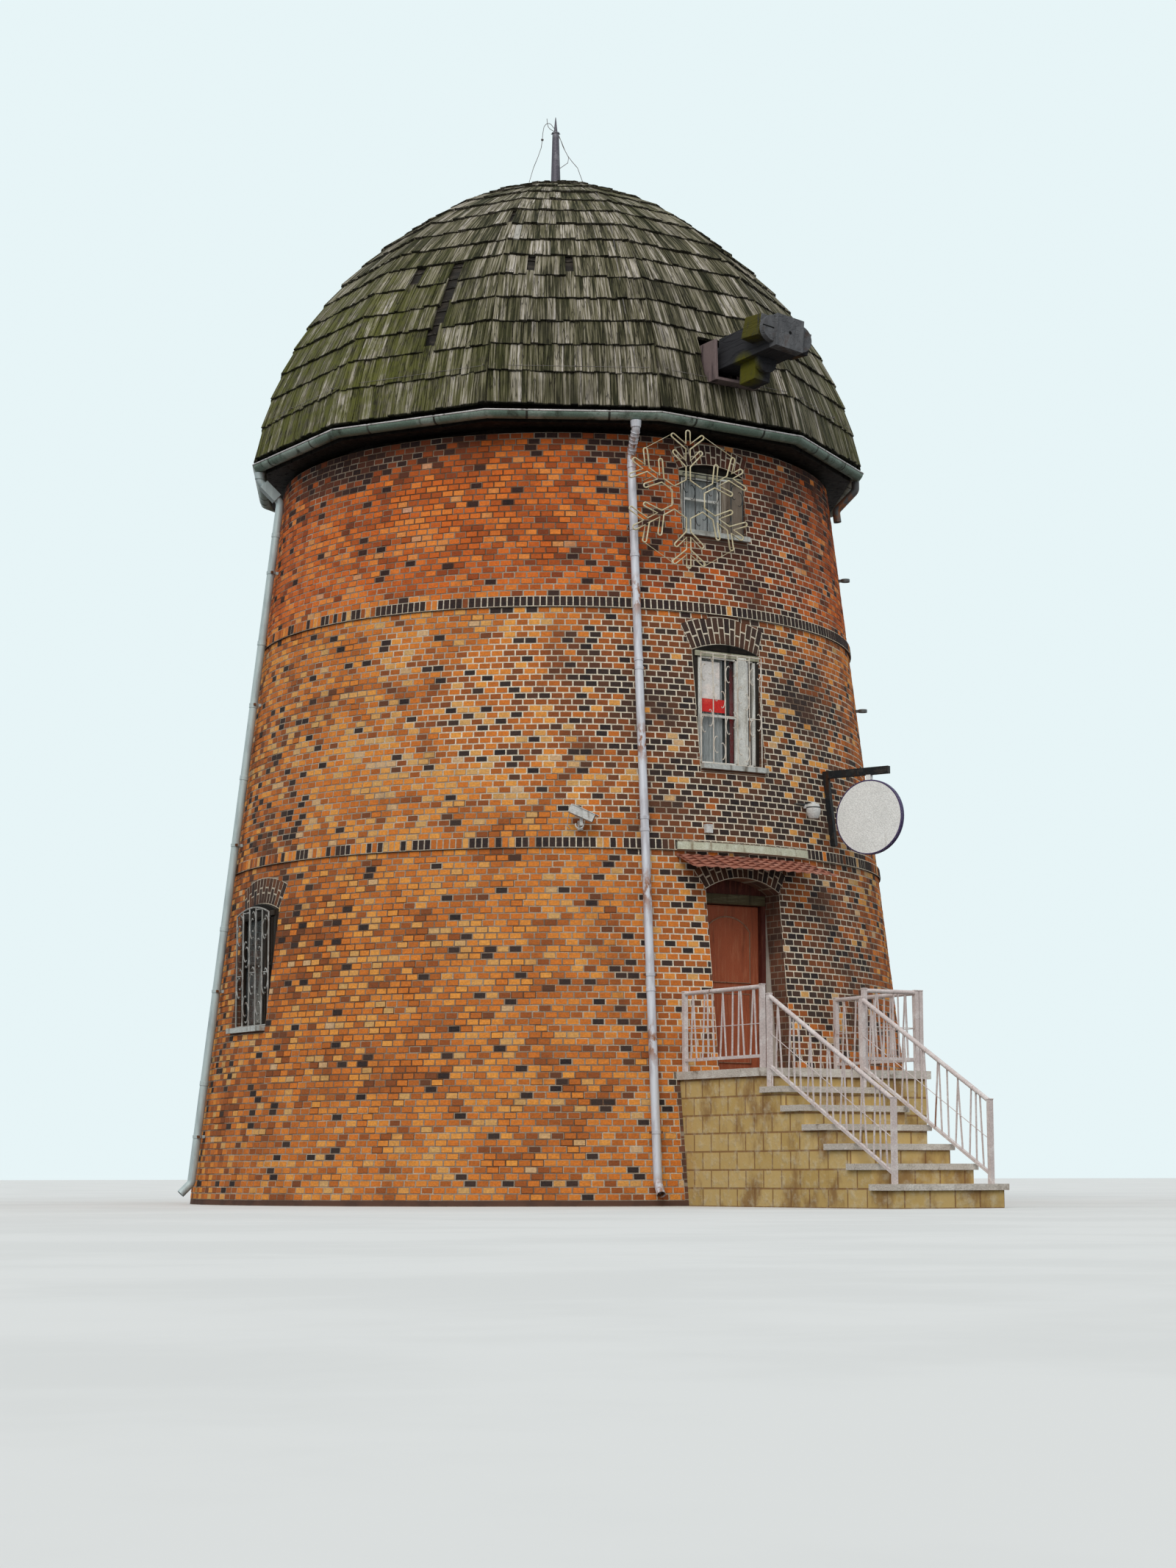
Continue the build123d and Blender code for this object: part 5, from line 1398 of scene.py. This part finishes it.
# %% [markdown]
# ## Canopy of pressed tile sheet
# Over the door hangs a curved sheet that is pressed to look like tiles. Waves run across it, and
# down it go five courses, each with a scalloped lip over the next. The sheet is a grid of such
# sections, one for every eighth of a wave, joined from one end of the canopy to the other.

# %% Canopy
tile_sheet = weathered("tile_sheet", (0.340, 0.135, 0.092), (0.400, 0.190, 0.140), (0.190, 0.080, 0.060),
    scale=4.0, streak=(3, 3, 3), rough=(0.5, 0.75), depth=0.001)
canopy_from, canopy_to = -12.0, 14.0
canopy_top = 4.03
canopy_middle = 4.4
canopy_courses = 5
course_reach = 0.104
course_fall = 0.040
course_step = 0.012
sheet_depth = 0.024
wave_pitch = 0.14


def canopy_section(wave):
    """(distance from the axis, height) points round the sheet; wave is 1 on a crest, -1 in a trough."""
    start = wall_radius(canopy_top)
    sunk = 0.006 * (wave - 1)
    points = []
    for row in range(canopy_courses):
        begin, fall = start + row * course_reach, canopy_top - row * course_fall
        lip = begin + course_reach + 0.010 * (wave - 1)
        points += [(begin - 0.022 * (row > 0), fall + sunk), (lip, fall - course_fall + course_step + sunk)]
    points.append((lip, points[-1][1] - sheet_depth * 0.5))
    points.append((start, canopy_top - sheet_depth))
    return points


def canopy_azimuths(count):
    """Evenly spaced azimuths from one end of the canopy to the other."""
    return [canopy_from + (canopy_to - canopy_from) * k / count for k in range(count + 1)]


canopy = Tray()
count = round(math.radians(canopy_to - canopy_from) * canopy_middle / wave_pitch) * 8
sections = []
for k, azimuth in enumerate(canopy_azimuths(count)):
    section = canopy_section(math.cos(math.tau * k / 8))
    sections.append(canopy.ring([(0, -reach, height) for reach, height in section], turned(azimuth)))
canopy.skin(sections)
canopy.finished("canopy_tiles", tile_sheet, "canopy_sheet", replaces=("canopy",))

# %% [markdown]
# ## Strips of sheet and strap iron
# Gutter straps, gutter sleeves and the seams of the flashing are strips that follow a line, and one
# function makes them. The crust of mortar over the flashing is a skin over uneven sections.

# %% Strips, and the dressings of the flashing
def strip(tray, line, wide, thick, place=Matrix()):
    """A flat strip along (distance from the axis, height) points, `wide` along x."""
    rows = []
    for k, (reach, height) in enumerate(line):
        ahead, behind = line[min(k + 1, len(line) - 1)], line[max(k - 1, 0)]
        along = Vector((0, behind[0] - ahead[0], ahead[1] - behind[1])).normalized()
        left, right = Vector((-wide / 2, -reach, height)), Vector((wide / 2, -reach, height))
        outwards = Vector((0, along.z, -along.y)) * thick
        rows.append(tray.ring([left, right, right + outwards, left + outwards], place))
    tray.skin(rows)


crust_azimuths = canopy_azimuths(150)
crust_under, crust_lip, crust_level = 4.150, 4.160, 4.158
foot = wall_radius(crust_level) + band_projection
lumps = []
crust = Tray()
for k, azimuth in enumerate(crust_azimuths):
    tall = 0.012 + 0.020 * abs(noise.noise(Vector((k * 0.23, 0, 0)))) + 0.006 * draw.random()
    section = ((foot - 0.02, crust_under), (foot + 0.044, crust_under), (foot + 0.040, crust_lip),
               (foot + 0.012, crust_level + tall), (foot - 0.02, crust_level + tall))
    lumps.append(crust.ring([(0, -reach, height) for reach, height in section], turned(azimuth)))
crust.skin(lumps)
old_mortar = weathered("old_mortar", (0.20, 0.16, 0.11), (0.42, 0.37, 0.29), (0.07, 0.05, 0.035),
    scale=16.0, depth=0.006)
crust.finished("mortar_over_flashing", old_mortar, "flashing")
seams = Tray()
seam_low, seam_high = 4.072, 4.154
face = wall_radius(4.11) + band_projection + 0.045
for azimuth in (-3.2, 5.5, 13.6):
    strip(seams, [(face + 0.004, seam_low), (face + 0.0005, seam_high)], 0.022, 0.003, turned(azimuth))
seams.finished("flashing_seams", flashing_zinc, "flashing", arris=0.001)

# %% [markdown]
# ## Gutter fittings
# The half-round gutter hangs in flat straps, two to each side of the dome. Its front edge is
# rolled to a bead, painted much paler than the gutter as a painted highlight, and at each corner a
# wider sleeve covers the joint.

# %% Bead, straps and corner sleeves
gutter_reach = 3.8167
gutter_rim = 9.27
gutter_radius = 0.082
# the bead's pale zinc is a painted highlight
bead_highlight = weathered("gutter_bead", (0.50, 0.47, 0.46), (0.66, 0.62, 0.61), (0.22, 0.21, 0.19),
    metallic=0.3, rough=(0.3, 0.5))
dark_zinc = weathered("gutter_straps", (0.055, 0.060, 0.050), (0.10, 0.11, 0.09), (0.05, 0.03, 0.02),
    metallic=0.4)


def around_gutter(radius, steps=14):
    """(distance from the axis, height) points round the gutter, from its front rim to the back."""
    turns = [math.radians(a) for a in np.linspace(0.0, 180.0, steps)]
    return [(gutter_reach + radius * math.cos(a), gutter_rim - radius * math.sin(a)) for a in turns]


bead = Tray()
rim_reach = gutter_reach + gutter_radius
corner = Vector((0, -rim_reach / math.cos(half_side), gutter_rim + 0.004))
bead.bars([[turned(cap_turn + 15 + 30 * k) @ corner for k in range(12)]], 0.011, closed=True)
bead.finished("gutter_bead", bead_highlight, "gutter", smooth=True)
straps = Tray()
sleeves = Tray()
hollow = around_gutter(gutter_radius + 0.001)
hook = [(rim_reach - 0.012, gutter_rim + 0.018), (rim_reach + 0.012, gutter_rim + 0.012)]
sleeve_aside = gutter_reach * math.tan(half_side) - 0.045
for side in range(12):
    place = turned(cap_turn + 30 * side)
    for aside in (-0.56, 0.44):
        shifted = Matrix.Translation((aside + draw.normal(0, 0.03), 0, 0))
        strip(straps, (hook + hollow)[::-1], 0.028, 0.005, place @ shifted)
    for aside in (-sleeve_aside, sleeve_aside):
        strip(sleeves, hollow[::-1], 0.045, 0.003, place @ Matrix.Translation((aside, 0, 0)))
straps.finished("gutter_straps", dark_zinc, "gutter")
sleeves.finished("gutter_sleeves", zinc, "gutter", arris=0.001)

# %% [markdown]
# ## Downpipe joints
# A pipe is a chain of lengths pushed into each other. Sockets mark the joints; the neck of the
# white pipe is made of short ribbed pieces, that of the grey one is a boxy elbow.

# %% Sockets, ribs and the boxy elbow
pipe_out = 0.095
pipe_radius = 0.05
neck_top, neck_foot = 9.078, 8.82
white_azimuth, grey_azimuth = -17.5, -104
white_joints = (8.70, 7.60, 6.33, 4.30, 2.45)
grey_joints = (8.42, 7.02, 6.22, 5.30, 3.40, 1.50)
clip_levels = (0.82, 2.60, 4.42, 6.20, 7.90)


def pipe_joint(tray, azimuth, height, tall=0.045, proud=0.006):
    """A socket round a pipe, in the pipe's own direction."""
    down = (on_wall(azimuth, height - 0.5) - on_wall(azimuth, height)).normalized()
    rim = pipe_radius + proud
    tray.lathe([(pipe_radius - 0.004, 0), (rim, 0.004), (rim, tall), (pipe_radius - 0.004, tall + 0.004)],
        on_wall(azimuth, height, pipe_out), 20, down)


def neck_line(azimuth):
    """Where a pipe's neck leaves the gutter, and where it meets the wall."""
    relative = (azimuth - cap_turn + 15) % 30 - 15
    reach = gutter_reach / math.cos(math.radians(relative))
    return turned(azimuth) @ Vector((0, -reach, neck_top)), on_wall(azimuth, neck_foot, pipe_out)


def outlet(tray, upper):
    """The funnel under the gutter."""
    tray.lathe([(0.052, 0), (0.060, 0.004), (0.066, 0.085), (0.050, 0.088)], upper + Vector((0, 0, 0.02)), 20)


sockets = Tray()
for height in white_joints:
    pipe_joint(sockets, white_azimuth, height)
upper, lower = neck_line(white_azimuth)
for k in range(7):
    sockets.lathe([(0.047, -0.012), (0.055, -0.005), (0.055, 0.005), (0.047, 0.012)],
        upper.lerp(lower, 0.10 + k * 0.135), 20, lower - upper)
outlet(sockets, upper)
for height in grey_joints:
    pipe_joint(sockets, grey_azimuth, height, 0.06)
upper, lower = neck_line(grey_azimuth)
elbow = Vector((0.062, 0.062, 0.125))
sockets.block(-elbow, elbow, facing_along(upper.lerp(lower, 0.5), lower - upper))
outlet(sockets, upper)
sockets.finished("pipe_sockets", pipe_finish, "pipe", arris=0.002)
lugs = Tray()
for azimuth in (white_azimuth, grey_azimuth):
    for height in clip_levels:
        clip = Matrix.Translation(on_wall(azimuth, height, pipe_out)) @ turned(azimuth)
        for left, right in ((-0.075, -0.054), (0.054, 0.075)):
            lugs.block((left, -0.016, -0.015), (right, 0.016, 0.015), clip)
rusty_iron = weathered("rusty_iron", (0.16, 0.065, 0.030), (0.27, 0.10, 0.035), (0.07, 0.035, 0.02),
    scale=14.0, depth=0.002)
lugs.finished("pipe_clip_lugs", rusty_iron, "pipe", arris=0.002)

# %% [markdown]
# ## Star of rope light
# The star is one endless light tube that runs out along each of six arms, makes a finger on both
# sides twice, turns round at the tip and comes back. The line is worked out for half an arm,
# mirrored, and turned six times; fingers lean a little differently, as tube tied by hand does.

# %% Star light
star_azimuth = -7.6
star_height = 8.29
star_reach = wall_radius(star_height) + 0.229
arm_start, arm_end = 0.232, 0.838
arm_half = 0.028
finger_half = 0.025
finger_places = (0.40, 0.62)
star_place = turned(star_azimuth) @ Matrix.Translation((0, -star_reach, star_height))


def half_arm():
    """One side of an arm, from the heart outwards, as (along, aside) points, and its outer finger's tip."""
    points = [Vector((arm_start, arm_half))]
    for place in finger_places:
        angle = math.radians(52 + draw.normal(0, 3.5))
        ahead = Vector((math.cos(angle), math.sin(angle)))
        across_it = Vector((-ahead.y, ahead.x))
        foot = Vector((place, 0))
        length = 0.238 + draw.normal(0, 0.006)
        aside = across_it * finger_half
        points.append(foot + ahead * (arm_half - finger_half * ahead.x) / ahead.y + aside)
        for k in range(9):
            swing = math.pi * k / 8
            points.append(foot + ahead * (length + finger_half * math.sin(swing)) + aside * math.cos(swing))
        points.append(foot + ahead * (arm_half + finger_half * ahead.x) / ahead.y - aside)
    tip = foot + ahead * (length + finger_half)
    points.append(Vector((arm_end - arm_half, arm_half)))
    return points, tip


def stood_up(point, back=0.0):
    """A point of the flat star, in the upright plane."""
    return Vector((point.x, back, point.y))


tube, links = [], []
for k in range(6):
    turn = Matrix.Rotation(math.radians(30 + 60 * k), 2)
    right_side, right_tip = half_arm()
    left_side, left_tip = half_arm()
    cap_line = [Vector((arm_end - arm_half + arm_half * math.cos(a), arm_half * math.sin(a)))
                for a in np.linspace(-1.2, 1.2, 5)]
    arm = [Vector((p.x, -p.y)) for p in right_side] + cap_line + left_side[::-1]
    tube += [turn @ p for p in arm]
    links.append((turn @ Vector((right_tip.x, -right_tip.y)), turn @ left_tip))
star = Tray(star_place)
star.bars([[stood_up(p) for p in tube]], 0.0095, closed=True, roundness=2)
wires = [[stood_up(links[k][1]), stood_up(links[(k + 1) % 6][0])] for k in (0, 1, 3, 4)]
star.bars(wires, 0.004)
rods = []
rod_place = Vector((0.52, arm_half))
for angle in (90, 150, 210, 270):
    spot = Matrix.Rotation(math.radians(angle), 2) @ rod_place
    wall_side = math.sqrt(wall_radius(star_height + spot.y) ** 2 - spot.x ** 2)
    rods.append([stood_up(spot), stood_up(spot, star_reach - wall_side)])
star.bars(rods, 0.006)
star.finished("star_tube", rope_tube, "rope_light", smooth=True, replaces=("star_light",))

# %% [markdown]
# ## Lightning conductor
# A stiff wire runs up the left side of the dome on stand-offs, loops over the finial's shoulder
# and comes down on the right. Another runs round the dome over the second course. It is rigid rod,
# held every metre or so.

# %% Conductor
galvanised = weathered("conductor_wire", (0.20, 0.18, 0.18), (0.34, 0.31, 0.30), (0.10, 0.07, 0.06),
    metallic=0.3)
shoulder = 14.137
rise_at = -121.0
ring_course = 0.47
loop_line = ((-0.235, -0.334), (-0.193, -0.210), (-0.178, -0.099), (-0.172, -0.012), (-0.156, 0.080),
             (-0.132, 0.115), (-0.111, 0.128), (-0.086, 0.128), (-0.062, 0.116), (-0.020, 0.060))
lower_eye = ((-0.111, 0.128), (-0.100, 0.085), (-0.080, 0.055), (-0.025, 0.020))
air_tip = ((-0.111, 0.128), (-0.116, 0.196))
right_wire = ((0.03, -0.01), (0.062, -0.087), (0.099, -0.198), (0.161, -0.322), (0.223, -0.408),
              (0.292, -0.49), (0.42, -0.86))
second_wire = ((0.03, -0.03), (0.075, -0.12), (0.124, -0.248), (0.173, -0.347), (0.161, -0.42), (0.05, -0.50),
               (0.03, -0.60))


def on_dome(azimuth, distance, out):
    """A point over the dome at an azimuth and a distance up the slope."""
    side = round((azimuth - cap_turn) / 30)
    share = math.tan(math.radians(azimuth - cap_turn - 30 * side)) / math.tan(half_side)
    return dome_frame(side, share, distance, out).translation


def by_finial(aside, above, back=0.0):
    """A point beside the finial's shoulder as the camera sees it."""
    return Vector((*(across.xy * aside + looking.xy * back), shoulder + above))


def stand_off(azimuth, distance, out):
    """A short rod that stands out from the dome."""
    return [on_dome(azimuth, distance, 0.0), on_dome(azimuth, distance, out)]


uphill = [on_dome(rise_at, d, 0.05 + 0.055 * math.sin(math.pi * d / 4.9) + 0.02 * math.sin(d * 5))
          for d in np.linspace(0.02, 4.9, 26)]
over_top = [on_dome(rise_at, 5.3, 0.03), by_finial(-0.42, -0.88, 0.1), by_finial(-0.297, -0.47, 0.05)]
downhill = [on_dome(-16.0 - 2 * math.sin(d), d, 0.035) for d in np.linspace(5.4, 0.5, 22)]
loop_line, lower_eye, air_tip, right_wire, second_wire = ([by_finial(*p) for p in line]
    for line in (loop_line, lower_eye, air_tip, right_wire, second_wire))
conductor = Tray()
conductor.bars([uphill + over_top + loop_line, lower_eye, air_tip, right_wire, second_wire, downhill], 0.0045)
conductor.bars([[on_dome(a, ring_course, 0.055) for a in np.arange(-180, 180, 5)]], 0.0022, closed=True)
stand_offs = [stand_off(rise_at, d, 0.13) for d in (0.45, 1.35, 2.35, 3.35, 4.35)]
stand_offs += [stand_off(a, ring_course, 0.085) for a in np.arange(-172, 180, 16)]
conductor.bars(stand_offs, 0.006)
clamp = Vector((0.014, 0.010, 0.012))
conductor.block(-clamp, clamp, Matrix.Translation(by_finial(-0.178, -0.099)))
conductor.finished("lightning_conductor", galvanised, "gutter")

collar = Tray()
collar.lathe([(0.030, -0.012), (0.052, -0.009), (0.052, 0.006), (0.030, 0.014)],
    Vector((0, 0, shoulder - 0.009)), 20)
collar.bars([[by_finial(-0.062, -0.018), by_finial(0.062, -0.018)],
             [by_finial(0.035, -0.01), by_finial(0.035, -0.045)]], 0.006)
collar.finished("finial_collar", spire_sheet, "finial")

# %% [markdown]
# ## Battens under the shingles
# Where a shingle has slipped off, the dark edges of two battens show.

# %% Battens in the holes
battens = Tray()
for mark in holes:
    place = Matrix.Translation(mark["place"]) @ Euler(mark["turn"]).to_matrix().to_4x4()
    wide, long = mark["size"][:2]
    for share in (0.16, 0.62):
        battens.block((-wide * 0.55, long * share, -0.004), (wide * 0.55, long * share + 0.028, 0.004), place)
batten_wood = weathered("batten_wood", (0.022, 0.018, 0.014), (0.070, 0.058, 0.046), (0.010, 0.008, 0.006),
    stretch=(4, 4, 4))
battens.finished("battens", batten_wood, "shingles")

# %% [markdown]
# ## Sign, lamp and camera
# These hang on the wall by the door. The round sign is a bare white disc in a dark rim. The lamp's
# jar is held by a band; the camera looks down through a hooded window.

# %% Sign rim, lamp band and camera window
sign_azimuth, sign_height = 22.6, 4.59
sign_centre = turned(sign_azimuth) @ Vector((0, -(wall_radius(sign_height) + 0.572), sign_height))
sign_axis = turned(sign_azimuth) @ Vector((1, 0, 0))
purple_rim = weathered("sign_rim", (0.050, 0.030, 0.105), (0.075, 0.05, 0.14), (0.03, 0.02, 0.05),
    rough=(0.35, 0.55))
rim = Tray()
rim_section = ((0.436, -0.034), (0.4515, -0.030), (0.4515, 0.030), (0.436, 0.034))
rim_turn = facing_along(sign_centre, sign_axis)
rim.skin([rim.ring([(x * radius, y * radius, along) for radius, along in rim_section], rim_turn)
          for x, y in circle(1.0, 64)], closed=True)
rim.finished("sign_rim", purple_rim, "sign_face", arris=0.002)

lamp_azimuth, lamp_height = 15.5, 4.71
lamp_axis = on_wall(lamp_azimuth, lamp_height, 0.142)
band = Tray()
band.lathe([(0.070, -0.008), (0.0855, -0.006), (0.0855, 0.006), (0.070, 0.008)],
    lamp_axis + Vector((0, 0, -0.0225)), 28)
arm = (on_wall(lamp_azimuth, lamp_height + 0.03, -0.01), on_wall(lamp_azimuth, lamp_height + 0.035, 0.09))
lead = (on_wall(lamp_azimuth - 2.6, lamp_height + 0.02, 0.004),
        on_wall(lamp_azimuth, lamp_height + 0.02, 0.02))
band.bars([arm, lead], 0.012)
band.finished("lamp_band", black_iron, "fittings", smooth=True)

camera_azimuth = -27.7
camera_tilt = math.radians(-24)
body_centre = Vector((0, -(wall_radius(4.32) + 0.18), 4.443))
lens_axis = Vector((math.cos(camera_tilt), 0, math.sin(camera_tilt)))
window = Tray(turned(camera_azimuth))
window.lathe([(0.036, 0.0), (0.040, 0.003), (0.040, 0.008), (0.030, 0.009)], body_centre + lens_axis * 0.1505,
    20, lens_axis)
window.block((0.151, -0.047, -0.045), (0.155, 0.047, 0.040),
    Matrix.Translation(body_centre) @ Matrix.Rotation(-camera_tilt, 4, "Y"))
window.finished("camera_window", dark_iron, "fittings", arris=0.001)
bracket = Tray(turned(camera_azimuth))
knee = body_centre + Vector((-0.02, 0.02, -0.13))
hoop = [knee + 0.045 * Vector((math.cos(a), 0, -math.sin(a))) for a in np.linspace(-0.3, 3.5, 14)]
bracket.bars([hoop], 0.010)
cable = ((-0.13, 0.03, 0.02), (-0.15, 0.06, -0.05), (-0.155, 0.10, -0.13), (-0.12, 0.13, -0.16))
bracket.bars([[body_centre + Vector(point) for point in cable]], 0.005)
bracket.finished("camera_bracket", pale_plastic, "fittings", smooth=True)

# %% [markdown]
# ## Handrails
# The top rail is a round tube over the square one, with caps on the posts and a thin bar halfway
# up each panel that ties the slanting bars together.

# %% Handrails, caps and middle bars
rail_top = 1.5 + 0.883
tie_under = Vector((0, 0, 0.40))
left_rail, stair_right, right_rail = -0.97, 0.30, 1.22
rail_front = -5.86985
runs = [((x, -5.99985, 2.27467), (x, -8.13985, 1.10142)) for x in (left_rail, stair_right)]
runs += [((left_rail, -4.3693, rail_top), (left_rail, rail_front, rail_top)),
         ((right_rail, -4.3054, rail_top), (right_rail, rail_front, rail_top)),
         ((0.43, rail_front, rail_top), (1.16, rail_front, rail_top))]
runs = [(Vector(start), Vector(end)) for start, end in runs]
handrail = Tray()
handrail.bars(runs, 0.0248, roundness=3)
handrail.finished("handrails", rail_paint, "railing", smooth=True)
ties = Tray()
ties.bars([(start - tie_under, end - tie_under) for start, end in runs], 0.0055)
for post in [post for run in runs for post in run]:
    ties.block(post + Vector((-0.029, -0.029, 0.0172)), post + Vector((0.029, 0.029, 0.030)))
ties.finished("rail_ties_and_caps", rail_paint, "railing", arris=0.003)

# %% [markdown]
# ## Door
# A weathered beam closes the opening above the frame, and a moulding follows the two panels of
# the leaf. The moulding rides with the leaf.

# %% Beam and moulding
beam = Tray()
beam.block((-0.50, -3.905, 3.487), (0.50, -3.8802, 3.605))
beam_wood = weathered("door_beam", (0.105, 0.085, 0.045), (0.15, 0.13, 0.075), (0.05, 0.04, 0.025),
    stretch=(1, 9, 9))
beam.finished("door_beam", beam_wood, "frame_wood", arris=0.004)
leaf_face = -3.8295
panel_half, panel_rise = 0.322, 0.170
panel_spring, panel_low = 3.177, 2.577
lower_panel = (1.642, 2.447)
arch = [(x, arc_height(x, panel_half, panel_rise, panel_spring + panel_rise))
        for x in np.linspace(-panel_half, panel_half, 17)]
outlines = (arch + [(panel_half, panel_low), (-panel_half, panel_low)],
            [(-panel_half, lower_panel[0]), (panel_half, lower_panel[0]),
             (panel_half, lower_panel[1]), (-panel_half, lower_panel[1])])
moulding = Tray()
for outline in outlines:
    moulding.bars([[(x, leaf_face, z) for x, z in outline]], 0.009, closed=True, roundness=2)
moulding_wood = weathered("door_moulding", (0.30, 0.16, 0.10), (0.36, 0.22, 0.15), (0.18, 0.08, 0.05),
    stretch=(6, 6, 1), rough=(0.35, 0.55))
moulding.finished("door_moulding", moulding_wood, "door_wood", body="leaf", smooth=True)
